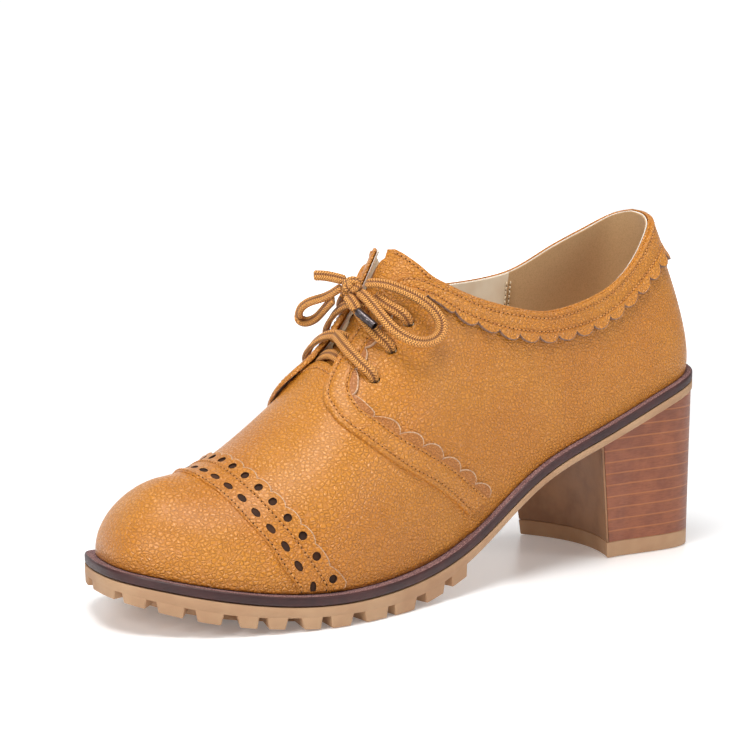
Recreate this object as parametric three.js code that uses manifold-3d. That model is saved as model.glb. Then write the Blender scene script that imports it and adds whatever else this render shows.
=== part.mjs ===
// Women's lace-up shoe with a block heel: a left shoe, standing empty and unbent.
// Millimetres. +X runs to the toe, +Y to the shoe's outer side, +Z up.
// The origin is the middle of the heel's ground face, and the floor is z = 0.
import * as THREE from 'three';
import { mergeVertices } from 'three/addons/utils/BufferGeometryUtils.js';
import Module from 'manifold-3d';

// Main sizes
const LENGTH = 240;         // welt, heel back to toe tip
const HEEL_BACK_X = -30;    // heel back of the welt
const BALL_WIDTH = 85.5;    // width that the outline's shares are taken of
const GAP = 0.3;            // air left between two touching pieces

// Thicknesses
const WELT_THICK = 2.9;
const WELT_LIP = 3.4;       // how far the welt stands out past the upper
const WELT_CHAMFER = 0.6;
const UPPER_WALL = 2.0;
const TONGUE_WALL = 1.6;
const TONGUE_GAP = 0.9;     // the tongue lies looser than the other layers
const INSOLE_THICK = 2.0;
const BAND_THICK = 1.2;
const STRIP_GAP = 0.4;      // the strips lie this far off the upper's facets
const TAB_THICK = 1.2;
const TOP_PIECE_THICK = 5.9;
const COVER_THICK = 1.0;

// Outline of the sole, from the heel back to the toe tip.
// at: share of LENGTH. outer, inner: half widths as shares of BALL_WIDTH.
const OUTLINE = [
  { at: 0.000, outer: 0.000, inner: 0.000 },
  { at: 0.030, outer: 0.262, inner: 0.235 },
  { at: 0.120, outer: 0.346, inner: 0.320 },
  { at: 0.280, outer: 0.363, inner: 0.318 },
  { at: 0.450, outer: 0.394, inner: 0.318 },
  { at: 0.600, outer: 0.470, inner: 0.412 },
  { at: 0.720, outer: 0.521, inner: 0.478 },
  { at: 0.820, outer: 0.479, inner: 0.462 },
  { at: 0.910, outer: 0.379, inner: 0.378 },
  { at: 0.975, outer: 0.228, inner: 0.250 },
  { at: 1.000, outer: 0.045, inner: 0.045 },
];

// Height of the welt's top face over the floor along the shoe: heel pitch, arch and toe spring.
const SEAT = [
  { at: 0.00, z: 68.6 }, { at: 0.12, z: 59.6 }, { at: 0.25, z: 48.5 }, { at: 0.38, z: 36.5 },
  { at: 0.50, z: 19.5 }, { at: 0.60, z: 12.2 }, { at: 0.70, z: 10.2 }, { at: 0.80, z: 10.6 },
  { at: 0.90, z: 14.2 }, { at: 1.00, z: 19.4 },
];

// Sections of the last. ridge: height of the top line over the floor. side: its shift in y.
// bulge: how far the wall swells past the feather line, wall: height share where the wall turns,
// crown: width share of the top's shoulder.
const LAST = [
  { at: 0.00, ridge: 165.0, side: 0.0, bulge: 0.182, wall: 0.202, crown: 0.009 },
  { at: 0.15, ridge: 163.0, side: 0.0, bulge: 0.182, wall: 0.202, crown: 0.009 },
  { at: 0.30, ridge: 158.0, side: 0.0, bulge: 0.080, wall: 0.400, crown: 0.500 },
  { at: 0.45, ridge: 149.6, side: 1.0, bulge: 0.060, wall: 0.420, crown: 0.400 },
  { at: 0.55, ridge: 120.7, side: 2.0, bulge: 0.060, wall: 0.460, crown: 0.380 },
  { at: 0.60, ridge: 95.9, side: 2.0, bulge: 0.060, wall: 0.490, crown: 0.420 },
  { at: 0.65, ridge: 79.8, side: 2.0, bulge: 0.060, wall: 0.520, crown: 0.460 },
  { at: 0.75, ridge: 56.9, side: 1.0, bulge: 0.050, wall: 0.580, crown: 0.560 },
  { at: 0.85, ridge: 45.2, side: 0.5, bulge: 0.040, wall: 0.469, crown: 0.480 },
  { at: 1.00, ridge: 44.7, side: 0.0, bulge: 0.030, wall: 0.594, crown: 0.610 },
];
const HEEL_POLE = 0.14;     // the ribs fan out behind this share of the length
const TOE_POLE = 0.90;      // and in front of this one
const POLE_SOFT = 0.04;

// Top edge of the collar on each side.
// round: place round the outline, 0 heel back to 1 toe tip. up: share of the rib, 0 feather line.
const COLLAR_OUTER = [
  { round: 0.000, up: 0.533 }, { round: 0.057, up: 0.524 }, { round: 0.137, up: 0.480 },
  { round: 0.182, up: 0.430 }, { round: 0.222, up: 0.387 }, { round: 0.281, up: 0.342 },
  { round: 0.331, up: 0.322 }, { round: 0.373, up: 0.329 }, { round: 0.417, up: 0.371 },
  { round: 0.468, up: 0.446 }, { round: 0.513, up: 0.556 }, { round: 0.526, up: 0.611 },
  { round: 0.536, up: 0.679 }, { round: 0.548, up: 0.800 }, { round: 0.556, up: 0.930 },
];
const COLLAR_INNER = [
  { round: 0.000, up: 0.533 }, { round: 0.090, up: 0.520 }, { round: 0.157, up: 0.494 },
  { round: 0.227, up: 0.452 }, { round: 0.285, up: 0.396 }, { round: 0.323, up: 0.378 },
  { round: 0.396, up: 0.391 }, { round: 0.440, up: 0.430 }, { round: 0.480, up: 0.500 },
  { round: 0.513, up: 0.590 }, { round: 0.526, up: 0.640 }, { round: 0.536, up: 0.700 },
  { round: 0.548, up: 0.806 }, { round: 0.556, up: 0.930 },
];

// Half of the gap between the two facings, along the shoe.
const THROAT = [
  { at: 0.560, half: 3.0 }, { at: 0.588, half: 4.6 }, { at: 0.617, half: 6.6 },
  { at: 0.641, half: 8.2 }, { at: 0.662, half: 9.4 }, { at: 0.682, half: 10.9 },
  { at: 0.700, half: 12.6 },
];
const EAR_ROUND = 0.556;    // where the facing meets the collar
const SEAM_ROUND = 0.6435;  // where the vamp ends and the tongue begins
const CREST_UP = 0.86;      // rib share of the line that carries the vamp's middle

// Rows of the upper's mesh
const WALL_ROWS = 8;
const CREST_ROWS = 2;
const HEEL_RIBS = 17;
const FACING_RIBS = 5;
const TOE_RIBS = 16;
const PLATE_RIBS = 30;        // ribs on each side of a sole plate

// Punched lace holes, three a side: place round the outline and share of the rib.
const EYELET_RADIUS = 1.9;
const EYELETS = [
  { round: 0.615, up: 0.630 },
  { round: 0.587, up: 0.633 },
  { round: 0.562, up: 0.604 },
];

// Band across the toe cap and the scalloped strip behind it, over the whole toe.
// up: share of the rib, front, seam, tips: shares of LENGTH.
const TOE_BAND = [
  { up: 0.035, front: 0.801, seam: 0.763, tips: 0.735 },
  { up: 0.130, front: 0.816, seam: 0.779, tips: 0.757 },
  { up: 0.260, front: 0.828, seam: 0.795, tips: 0.773 },
  { up: 0.430, front: 0.844, seam: 0.812, tips: 0.790 },
  { up: 0.610, front: 0.856, seam: 0.824, tips: 0.802 },
  { up: 0.800, front: 0.867, seam: 0.832, tips: 0.810 },
  { up: 1.000, front: 0.873, seam: 0.834, tips: 0.812 },
];
const BAND_SPLIT = 0.0018;   // gap between the two strips, as a share of LENGTH
const TOE_STATIONS = 32;
const TOE_SCALLOPS = 17;
const SCALLOP_DEPTH = 0.30;  // share of a strip's width that the scallops take

// Facing strip: down the edge of the lacing, round the corner and along the quarter's front edge.
// The front edge and the line of scallop tips behind it, as round and up.
const FACING_STRIP = [
  { round: 0.588, up: 0.890, backRound: 0.567, backUp: 0.690 },
  { round: 0.604, up: 0.895, backRound: 0.585, backUp: 0.705 },
  { round: 0.622, up: 0.895, backRound: 0.604, backUp: 0.722 },
  { round: 0.641, up: 0.880, backRound: 0.624, backUp: 0.700 },
  { round: 0.658, up: 0.850, backRound: 0.634, backUp: 0.672 },
  { round: 0.670, up: 0.800, backRound: 0.636, backUp: 0.630 },
  { round: 0.673, up: 0.724, backRound: 0.634, backUp: 0.580 },
  { round: 0.671, up: 0.634, backRound: 0.627, backUp: 0.530 },
  { round: 0.657, up: 0.515, backRound: 0.612, backUp: 0.465 },
  { round: 0.634, up: 0.395, backRound: 0.594, backUp: 0.390 },
  { round: 0.606, up: 0.295, backRound: 0.568, backUp: 0.302 },
  { round: 0.574, up: 0.205, backRound: 0.540, backUp: 0.218 },
  { round: 0.541, up: 0.125, backRound: 0.507, backUp: 0.145 },
  { round: 0.505, up: 0.045, backRound: 0.462, backUp: 0.045 },
];
const FACING_SCALLOPS = 14;

// Collar strip: top edge and the line of scallop tips, outer side then inner side.
const COLLAR_STRIP_OUTER = [
  { round: 0.000, top: 0.520, tips: 0.388 }, { round: 0.057, top: 0.511, tips: 0.390 },
  { round: 0.113, top: 0.482, tips: 0.385 }, { round: 0.160, top: 0.438, tips: 0.354 },
  { round: 0.211, top: 0.385, tips: 0.312 }, { round: 0.271, top: 0.335, tips: 0.265 },
  { round: 0.331, top: 0.309, tips: 0.247 }, { round: 0.368, top: 0.314, tips: 0.256 },
  { round: 0.400, top: 0.339, tips: 0.280 }, { round: 0.429, top: 0.371, tips: 0.313 },
  { round: 0.457, top: 0.411, tips: 0.356 }, { round: 0.484, top: 0.466, tips: 0.402 },
  { round: 0.513, top: 0.545, tips: 0.476 }, { round: 0.525, top: 0.586, tips: 0.523 },
  { round: 0.537, top: 0.641, tips: 0.565 }, { round: 0.548, top: 0.700, tips: 0.622 },
  { round: 0.559, top: 0.761, tips: 0.700 }, { round: 0.566, top: 0.798, tips: 0.768 },
];
const COLLAR_STRIP_INNER = [
  { round: 0.057, top: 0.511, tips: 0.392 }, { round: 0.113, top: 0.497, tips: 0.398 },
  { round: 0.160, top: 0.480, tips: 0.392 }, { round: 0.211, top: 0.451, tips: 0.366 },
  { round: 0.271, top: 0.395, tips: 0.320 }, { round: 0.323, top: 0.364, tips: 0.302 },
  { round: 0.368, top: 0.367, tips: 0.310 }, { round: 0.400, top: 0.381, tips: 0.326 },
  { round: 0.429, top: 0.405, tips: 0.352 }, { round: 0.457, top: 0.440, tips: 0.386 },
  { round: 0.484, top: 0.494, tips: 0.430 }, { round: 0.513, top: 0.576, tips: 0.500 },
  { round: 0.525, top: 0.618, tips: 0.540 }, { round: 0.537, top: 0.672, tips: 0.590 },
  { round: 0.548, top: 0.725, tips: 0.645 }, { round: 0.559, top: 0.775, tips: 0.710 },
  { round: 0.566, top: 0.800, tips: 0.770 },
];
const COLLAR_SCALLOPS = 37;

// Small tab sewn over the heel end of the collar strip.
const TAB_HALF_ROUND = 0.030;
const TAB_TOP = 0.515;
const TAB_FOOT = 0.425;

// Tongue: from under the vamp's edge to just below the ears.
const TONGUE_ROUND = [0.700, 0.561];
const TONGUE_HALF = [20, 12];
const TONGUE_STATIONS = 12;
const TONGUE_ACROSS = 8;

// Outsole. thick: the rubber under the welt. lug: height of the ground faces over the floor.
const RUBBER = [
  { at: 0.00, thick: 3.1 }, { at: 0.12, thick: 2.9 }, { at: 0.22, thick: 2.5 },
  { at: 0.36, thick: 2.2 }, { at: 0.48, thick: 2.6 }, { at: 0.60, thick: 4.2 },
  { at: 0.70, thick: 3.5 }, { at: 0.80, thick: 3.2 }, { at: 0.90, thick: 3.6 },
  { at: 1.00, thick: 3.0 },
];
const LUG_FLOOR = [
  { at: 0.44, z: 16.0 }, { at: 0.50, z: 8.2 }, { at: 0.57, z: 2.6 }, { at: 0.62, z: 0.3 },
  { at: 0.65, z: -0.3 }, { at: 0.70, z: -0.4 }, { at: 0.75, z: -0.2 }, { at: 0.82, z: 1.1 },
  { at: 0.88, z: 2.9 }, { at: 0.94, z: 6.0 }, { at: 1.00, z: 10.2 },
];
const LUG_END = 0.522;      // share of LENGTH where the lugs stop under the arch
const NOTCH_DEEP = 4.2;     // up from the ground face
const NOTCH_REACH = 11;     // in from the edge
const NOTCH_TAPER = 0.62;   // width at the root over width at the ground
const NOTCH_CLEAR = 4;      // how far the cutting form stands out of the sole, out and down
const NOTCHES = [
  { round: 0.5505, wide: 4.6 }, { round: 0.5982, wide: 6.1 }, { round: 0.6475, wide: 3.9 },
  { round: 0.6946, wide: 6.1 }, { round: 0.7358, wide: 3.9 }, { round: 0.7728, wide: 6.1 },
  { round: 0.8082, wide: 3.6 }, { round: 0.8436, wide: 5.8 }, { round: 0.8870, wide: 4.4 },
  { round: 0.9293, wide: 4.2 }, { round: 0.9697, wide: 4.0 },
];
const MIDDLE_BARS = [0.590, 0.655, 0.720, 0.785, 0.850];
const BAR_GROOVE = 5.0;
const BAR_MARGIN = 17;

// Heel. The stack tapers in from the welt's outline by these insets at the floor.
const HEEL_TOP_INSET = 0.4;
const HEEL_INSETS = { outer: 6.6, back: 0.5, inner: 3.2 };
const HEEL_REACH = 0.40;    // round share that the heel's raw outline goes to
const BREAST_X = 19.3;      // front corners of the heel at the floor
const BREAST_LEAN = 0.125;  // forward step of the breast for each millimetre up
const BREAST_HOLLOW = 7.5;  // how far the middle of the breast lies behind its corners
const BREAST_HALF = 24.5;
const HEEL_SKY = 90;        // raw height before the seat is cut
const HEEL_FULL = 62;       // height where the taper ends
const HEEL_CORNER_ROUND = 0.08;  // up to this round share the inset is the back's
const HEEL_SIDE_ROUND = 0.22;    // and from this one on it is the side's
const BREAST_CUT_HALF = 44;    // half width of the form that cuts the breast
const BREAST_CUT_FRONT = 160;  // and how far forward it reaches

// Laces: flat braid
const LACE_WIDE = 3.8;
const LACE_THICK = 2.0;
const LACE_STEP = 4.5;
const AGLET_RADIUS = 1.5;
// A crossing leaves its hole, rises over the facing strip and drops at the far facing's edge.
// ahead: how far it moves round from the hole, up: share of the rib, lift: over the last.
// side: 1 on the hole's own side, -1 past the middle.
const CROSSING = [
  { ahead: 0.001, up: 0.640, lift: 1.7, side: 1 },
  { ahead: 0.006, up: 0.700, lift: 3.2, side: 1 },
  { ahead: 0.009, up: 0.780, lift: 3.4, side: 1 },
  { ahead: 0.009, up: 0.870, lift: 3.4, side: 1 },
  { ahead: 0.006, up: 0.960, lift: 2.6, side: 1 },
  { ahead: 0.003, up: 0.955, lift: 0.9, side: -1 },
];
// The top laces run from the last holes up to the knot.
const TOP_LACE = [
  { round: 0.563, up: 0.612, lift: 1.7 }, { round: 0.569, up: 0.670, lift: 3.0 },
  { round: 0.575, up: 0.740, lift: 3.4 }, { round: 0.579, up: 0.825, lift: 3.6 },
];
const BASE_BAR_ROUND = 0.634;   // straight bar low in the throat
const BASE_BAR_LIFT = -1.2;
const KNOT = [118.8, 3.6, 100.4];
const KNOT_RADII = [3.3, 4.2, 2.9];
// Bow, in millimetres, from the knot and back to it or to its end
const NEAR_LOOP = [
  [116.6, 9.2, 102.0], [113.6, 13.6, 102.0], [109.5, 18.9, 100.2], [104.4, 24.2, 96.4],
  [100.6, 27.9, 90.9], [101.2, 29.2, 86.4], [105.3, 29.2, 84.0], [110.3, 27.6, 84.2],
  [114.9, 23.6, 87.4], [117.4, 17.4, 93.0], [118.4, 11.4, 97.6], [118.9, 8.6, 99.2],
];
const FAR_LOOP = [
  [119.4, -1.8, 100.2], [122.5, -7.0, 96.8], [125.2, -12.0, 95.0], [127.0, -15.4, 91.9],
  [125.6, -16.4, 88.4], [123.2, -13.0, 88.8], [122.0, -8.0, 92.6], [121.4, -3.2, 96.2],
];
const FAR_END = [
  [118.2, -1.6, 102.6], [119.6, -4.2, 103.2], [122.4, -7.2, 103.9], [125.4, -9.2, 104.0],
];
const NEAR_END = [
  [122.3, 6.6, 97.7], [122.4, 9.2, 96.0], [122.2, 11.6, 93.6],
];
const AGLET = [
  [122.2, 12.1, 93.2], [119.9, 18.6, 88.8],
];

// Natural cubic spline through the points (xs, ys)
function spline(xs, ys) {
  const n = xs.length;
  const h = [];
  for (let i = 0; i < n - 1; i++) h.push(xs[i + 1] - xs[i]);
  const diag = new Array(n).fill(1);
  const rhs = new Array(n).fill(0);
  const upper = new Array(n).fill(0);
  for (let i = 1; i < n - 1; i++) {
    diag[i] = 2 * (h[i - 1] + h[i]);
    upper[i] = h[i];
    rhs[i] = 6 * ((ys[i + 1] - ys[i]) / h[i] - (ys[i] - ys[i - 1]) / h[i - 1]);
  }
  for (let i = 2; i < n - 1; i++) {
    const w = h[i - 1] / diag[i - 1];
    diag[i] -= w * upper[i - 1];
    rhs[i] -= w * rhs[i - 1];
  }
  const bend = new Array(n).fill(0);
  for (let i = n - 2; i > 0; i--) bend[i] = (rhs[i] - upper[i] * bend[i + 1]) / diag[i];
  return (x) => {
    const q = Math.min(Math.max(x, xs[0]), xs[n - 1]);
    let i = 0;
    while (i < n - 2 && q > xs[i + 1]) i++;
    const a = q - xs[i];
    const b = xs[i + 1] - q;
    return (bend[i] * b ** 3 + bend[i + 1] * a ** 3) / (6 * h[i])
      + (ys[i] / h[i] - (bend[i] * h[i]) / 6) * b
      + (ys[i + 1] / h[i] - (bend[i + 1] * h[i]) / 6) * a;
  };
}

function column(table, key, name) {
  return spline(table.map((row) => row[key]), table.map((row) => row[name]));
}

const mix = (a, b, t) => a + (b - a) * t;
const shareOf = (x) => (x - HEEL_BACK_X) / LENGTH;
const xOf = (share) => HEEL_BACK_X + share * LENGTH;

// Outline of the sole as a closed curve of t, with the toe tip at t = HALF_TURN
const HALF_TURN = OUTLINE.length - 1;
const TURN = 2 * HALF_TURN;
const ringPoints = [];
for (const row of OUTLINE) ringPoints.push([xOf(row.at), BALL_WIDTH * row.outer]);
for (let i = HALF_TURN - 1; i > 0; i--) {
  ringPoints.push([xOf(OUTLINE[i].at), -BALL_WIDTH * OUTLINE[i].inner]);
}
const ringSteps = [];
for (let i = -4; i <= TURN + 4; i++) ringSteps.push(i);
const wrapPoint = (i) => ringPoints[((i % TURN) + TURN) % TURN];
const ringX = spline(ringSteps, ringSteps.map((i) => wrapPoint(i)[0]));
const ringY = spline(ringSteps, ringSteps.map((i) => wrapPoint(i)[1]));

// Arc length along the outer side, so that `round` runs evenly from 0 to 1
const ARC_STEPS = 1000;
const arc = [0];
for (let i = 1; i <= ARC_STEPS; i++) {
  const a = ((i - 1) * HALF_TURN) / ARC_STEPS;
  const b = (i * HALF_TURN) / ARC_STEPS;
  arc.push(arc[i - 1] + Math.hypot(ringX(b) - ringX(a), ringY(b) - ringY(a)));
}

// t of a signed place round the outline: positive on the outer side, negative on the inner side
function turnOf(round) {
  const r = round > 1 ? round - 2 : round < -1 ? round + 2 : round;
  const want = Math.abs(r) * arc[ARC_STEPS];
  let low = 0;
  let high = ARC_STEPS;
  while (high - low > 1) {
    const mid = (low + high) >> 1;
    if (arc[mid] <= want) low = mid;
    else high = mid;
  }
  const t = ((low + (want - arc[low]) / (arc[low + 1] - arc[low])) * HALF_TURN) / ARC_STEPS;
  return r < 0 ? TURN - t : t;
}

// Outline point at a place, moved out along the outline's normal
function rim(round, out) {
  const t = turnOf(round);
  const e = 1e-3;
  const tx = ringX(t + e) - ringX(t - e);
  const ty = ringY(t + e) - ringY(t - e);
  const len = Math.hypot(tx, ty);
  return [ringX(t) - (ty / len) * out, ringY(t) + (tx / len) * out];
}

const seatAt = column(SEAT, 'at', 'z');
const seat = (x) => seatAt(shareOf(x));
const ridgeAt = column(LAST, 'at', 'ridge');
const sideAt = column(LAST, 'at', 'side');
const bulgeAt = column(LAST, 'at', 'bulge');
const wallAt = column(LAST, 'at', 'wall');
const crownAt = column(LAST, 'at', 'crown');

// Share of length of a rib's top, held between the two poles
function poleShare(share) {
  const low = HEEL_POLE + POLE_SOFT * Math.log1p(Math.exp((share - HEEL_POLE) / POLE_SOFT));
  return TOE_POLE - POLE_SOFT * Math.log1p(Math.exp((TOE_POLE - low) / POLE_SOFT));
}

function spine(round) {
  const share = poleShare(shareOf(ringX(turnOf(round))));
  return { share, x: xOf(share), y: sideAt(share) };
}

// Point of the last: round the outline, up its rib
function lastPoint(round, up) {
  const foot = rim(round, -WELT_LIP);
  const top = spine(round);
  const down = 1 - up;
  const a = down ** 3 + 3 * down * down * up * (1 + bulgeAt(top.share))
    + 3 * down * up * up * crownAt(top.share);
  const b = 3 * down * down * up * wallAt(top.share) + 3 * down * up * up + up ** 3;
  const x = top.x + (foot[0] - top.x) * a;
  const y = top.y + (foot[1] - top.y) * a;
  const base = seat(x) + GAP;
  const ridge = ridgeAt(Math.min(Math.max(shareOf(x), 0), 1));
  return [x, y, base + (ridge - base) * b];
}

function lastNormal(round, up) {
  const e = 1e-3;
  const a = lastPoint(round + e, up);
  const b = lastPoint(round - e, up);
  const c = lastPoint(round, Math.min(up + e, 1));
  const d = lastPoint(round, Math.min(up + e, 1) - 2 * e);
  const u = [a[0] - b[0], a[1] - b[1], a[2] - b[2]];
  const v = [c[0] - d[0], c[1] - d[1], c[2] - d[2]];
  const n = [v[1] * u[2] - v[2] * u[1], v[2] * u[0] - v[0] * u[2], v[0] * u[1] - v[1] * u[0]];
  const len = Math.hypot(...n) || 1;
  return n.map((k) => k / len);
}

function offLast(round, up, lift) {
  const p = lastPoint(round, up);
  const n = lastNormal(round, up);
  return [p[0] + n[0] * lift, p[1] + n[1] * lift, p[2] + n[2] * lift];
}

// Place round the outline, on one side, where a rib share reaches a share of the length
function roundAt(side, up, share) {
  let low = 0.02;
  let high = 0.999;
  for (let i = 0; i < 40; i++) {
    const mid = (low + high) / 2;
    if (lastPoint(side * mid, up)[0] < xOf(share)) low = mid;
    else high = mid;
  }
  return side * low;
}

// Rib share where a rib reaches the facing's edge
const throatAt = column(THROAT, 'at', 'half');
function facingUp(round) {
  let low = 0.4;
  let high = 1;
  for (let i = 0; i < 40; i++) {
    const mid = (low + high) / 2;
    const p = lastPoint(round, mid);
    if (Math.abs(p[1] - spine(round).y) > throatAt(shareOf(p[0]))) low = mid;
    else high = mid;
  }
  return low;
}

// A mesh under construction: points and triangles, facing out
class Body {
  constructor() {
    this.points = [];
    this.tris = [];
  }
  add(p) {
    this.points.push(p);
    return this.points.length - 1;
  }
  quad(a, b, c, d) {
    this.tri(a, b, c);
    this.tri(a, c, d);
  }
  tri(a, b, c) {
    if (a !== b && b !== c && a !== c) this.tris.push([a, b, c]);
  }
  volume() {
    let six = 0;
    for (const [i, j, k] of this.tris) {
      const [a, b, c] = [this.points[i], this.points[j], this.points[k]];
      six += a[0] * (b[1] * c[2] - b[2] * c[1]) + a[1] * (b[2] * c[0] - b[0] * c[2])
        + a[2] * (b[0] * c[1] - b[1] * c[0]);
    }
    return six / 6;
  }
  outward() {
    if (this.volume() < 0) this.tris = this.tris.map(([a, b, c]) => [a, c, b]);
    return this;
  }
}

// Closed body between two copies of one patch: the same triangles, with walls on open edges
function slab(tris, outer, inner) {
  const body = new Body();
  outer.forEach((p) => body.add(p));
  inner.forEach((p) => body.add(p));
  const n = outer.length;
  const edges = new Map();
  for (const [a, b, c] of tris) {
    body.tri(a, b, c);
    body.tri(a + n, c + n, b + n);
    for (const [i, j] of [[a, b], [b, c], [c, a]]) {
      const back = j + ',' + i;
      if (edges.has(back)) edges.delete(back);
      else edges.set(i + ',' + j, [i, j]);
    }
  }
  for (const [i, j] of edges.values()) body.quad(j, i, i + n, j + n);
  return body.outward();
}

// Triangles of a grid of rows by columns, closed in the first direction or open
function gridTris(rows, cols, closed) {
  const tris = [];
  const at = (i, j) => (i % rows) * cols + j;
  for (let i = 0; i < (closed ? rows : rows - 1); i++) {
    for (let j = 0; j < cols - 1; j++) {
      tris.push([at(i, j), at(i + 1, j), at(i + 1, j + 1)]);
      tris.push([at(i, j), at(i + 1, j + 1), at(i, j + 1)]);
    }
  }
  return tris;
}

// Body from stations of places on the last: a grid of [round, up], lifted off it
function patchBody(grid, lift, thick) {
  const flat = grid.flat();
  const outer = flat.map(([round, up]) => offLast(round, up, lift + thick));
  const inner = flat.map(([round, up]) => offLast(round, up, lift));
  return slab(gridTris(grid.length, grid[0].length, false), outer, inner);
}

// Upper: one hollow shell, open at the collar, the throat and underneath
function ribPlaces() {
  const places = [];
  for (let i = 0; i < HEEL_RIBS; i++) places.push((EAR_ROUND * i) / HEEL_RIBS);
  for (let i = 0; i < FACING_RIBS; i++) {
    places.push(mix(EAR_ROUND, SEAM_ROUND, i / FACING_RIBS));
  }
  for (let i = 0; i <= TOE_RIBS; i++) places.push(mix(SEAM_ROUND, 1, i / TOE_RIBS));
  return places;
}

const collarOuter = column(COLLAR_OUTER, 'round', 'up');
const collarInner = column(COLLAR_INNER, 'round', 'up');
function edgeUp(round) {
  const r = Math.abs(round);
  if (r < EAR_ROUND - 1e-6) return round < 0 ? collarInner(r) : collarOuter(r);
  if (r <= SEAM_ROUND + 1e-6) return facingUp(round);
  const start = facingUp(Math.sign(round) * SEAM_ROUND);
  return mix(start, CREST_UP, (r - SEAM_ROUND) / (1 - SEAM_ROUND));
}

function upperBody() {
  const half = ribPlaces();
  const toe = half.length - 1;
  const seam = HEEL_RIBS + FACING_RIBS;
  const ribs = [...half, ...half.slice(1, toe).reverse().map((r) => -r)];
  const places = [];
  const tris = [];
  const cols = WALL_ROWS + 1;
  for (const round of ribs) {
    const edge = edgeUp(round);
    for (let j = 0; j < cols; j++) places.push([round, (edge * j) / WALL_ROWS]);
  }
  for (const t of gridTris(ribs.length, cols, true)) tris.push(t);
  const crest = new Map();
  const cell = (i, k) => {
    if (k === 0) return i * cols + WALL_ROWS;
    const mirror = k === CREST_ROWS ? Math.min(i, ribs.length - i) : i;
    const key = mirror + ',' + k;
    if (!crest.has(key)) {
      const edge = edgeUp(ribs[mirror]);
      crest.set(key, places.length);
      places.push([ribs[mirror], mix(edge, 1, k / CREST_ROWS)]);
    }
    return crest.get(key);
  };
  for (let i = seam; i < ribs.length - seam; i++) {
    for (let k = 0; k < CREST_ROWS; k++) {
      const quad = [cell(i, k), cell(i + 1, k), cell(i + 1, k + 1), cell(i, k + 1)];
      for (const t of [[quad[0], quad[1], quad[2]], [quad[0], quad[2], quad[3]]]) {
        if (new Set(t).size === 3) tris.push(t);
      }
    }
  }
  const outer = places.map(([round, up]) => lastPoint(round, up));
  const normals = outer.map(() => [0, 0, 0]);
  for (const [a, b, c] of tris) {
    const [p, q, s] = [outer[a], outer[b], outer[c]];
    const u = [q[0] - p[0], q[1] - p[1], q[2] - p[2]];
    const v = [s[0] - p[0], s[1] - p[1], s[2] - p[2]];
    const n = [u[1] * v[2] - u[2] * v[1], u[2] * v[0] - u[0] * v[2], u[0] * v[1] - u[1] * v[0]];
    for (const k of [a, b, c]) for (let m = 0; m < 3; m++) normals[k][m] += n[m];
  }
  const turn = normals[0][0] > 0 ? -1 : 1;
  const inner = outer.map((p, k) => {
    const n = normals[k];
    const foot = places[k][1] === 0;
    const len = (foot ? Math.hypot(n[0], n[1]) : Math.hypot(...n)) * turn;
    const q = [p[0] - (n[0] / len) * UPPER_WALL, p[1] - (n[1] / len) * UPPER_WALL];
    q.push(foot ? seat(q[0]) + GAP : p[2] - (n[2] / len) * UPPER_WALL);
    return q;
  });
  return slab(tris, outer, inner);
}

// Rows of [round, up] across a strip with a scalloped far edge
function stripGrid(near, far, scallops) {
  const grid = [];
  const steps = scallops * 3;
  for (let i = 0; i <= steps; i++) {
    const t = i / steps;
    const a = near(t);
    const b = far(t);
    const reach = i % 3 === 0 ? 1 - SCALLOP_DEPTH : 1;
    const row = [];
    const across = 2;
    for (let j = 0; j <= across; j++) {
      const w = (reach * j) / across;
      row.push([mix(a[0], b[0], w), mix(a[1], b[1], w)]);
    }
    grid.push(row);
  }
  return grid;
}

function along(table, names) {
  const steps = table.map((row, i) => i / (table.length - 1));
  const lines = names.map((name) => spline(steps, table.map((row) => row[name])));
  return (t) => lines.map((line) => line(t));
}

// Toe strips run from one feather line over the toe to the other
function toeLine(name) {
  const up = TOE_BAND.map((row) => row.up);
  const shareOfRow = (row) => (name === 'split' ? row.seam - BAND_SPLIT : row[name]);
  const share = TOE_BAND.map(shareOfRow);
  const both = spline([...up, ...up.slice(0, -1).reverse().map((k) => 2 - k)],
    [...share, ...share.slice(0, -1).reverse()]);
  return (t) => {
    const run = mix(up[0], 2 - up[0], t);
    const side = run <= 1 ? 1 : -1;
    const rib = Math.min(run, 2 - run);
    return [roundAt(side, rib, both(run)), rib, side];
  };
}

function toeStrip(front, back, steps, scallops) {
  const a = toeLine(front);
  const b = toeLine(back);
  const grid = [];
  const across = 2;
  const count = scallops ? scallops * 3 : steps;
  for (let i = 0; i <= count; i++) {
    const p = a(i / count);
    const q = b(i / count);
    const reach = scallops && i % 3 === 0 ? 1 - SCALLOP_DEPTH : 1;
    const row = [];
    for (let j = 0; j <= across; j++) {
      row.push([mix(p[0], q[0], (reach * j) / across), p[1]]);
    }
    grid.push(row);
  }
  return grid;
}

// Collar strip as one run from the outer side's front end, round the heel, to the inner one's
function collarGrid() {
  const table = [
    ...COLLAR_STRIP_OUTER.map((row) => [row.round, row.top, row.tips]).reverse(),
    ...COLLAR_STRIP_INNER.map((row) => [-row.round, row.top, row.tips]),
  ];
  const rounds = table.map((row) => -row[0]);
  const top = spline(rounds, table.map((row) => row[1]));
  const tips = spline(rounds, table.map((row) => row[2]));
  const first = rounds[0];
  const last = rounds[rounds.length - 1];
  const near = (t) => [-mix(first, last, t), top(mix(first, last, t))];
  const far = (t) => [-mix(first, last, t), tips(mix(first, last, t))];
  return stripGrid(near, far, COLLAR_SCALLOPS);
}

function facingGrid(side) {
  const near = along(FACING_STRIP, ['round', 'up']);
  const far = along(FACING_STRIP, ['backRound', 'backUp']);
  const flip = (line) => (t) => [side * line(t)[0], line(t)[1]];
  return stripGrid(flip(near), flip(far), FACING_SCALLOPS);
}

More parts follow.
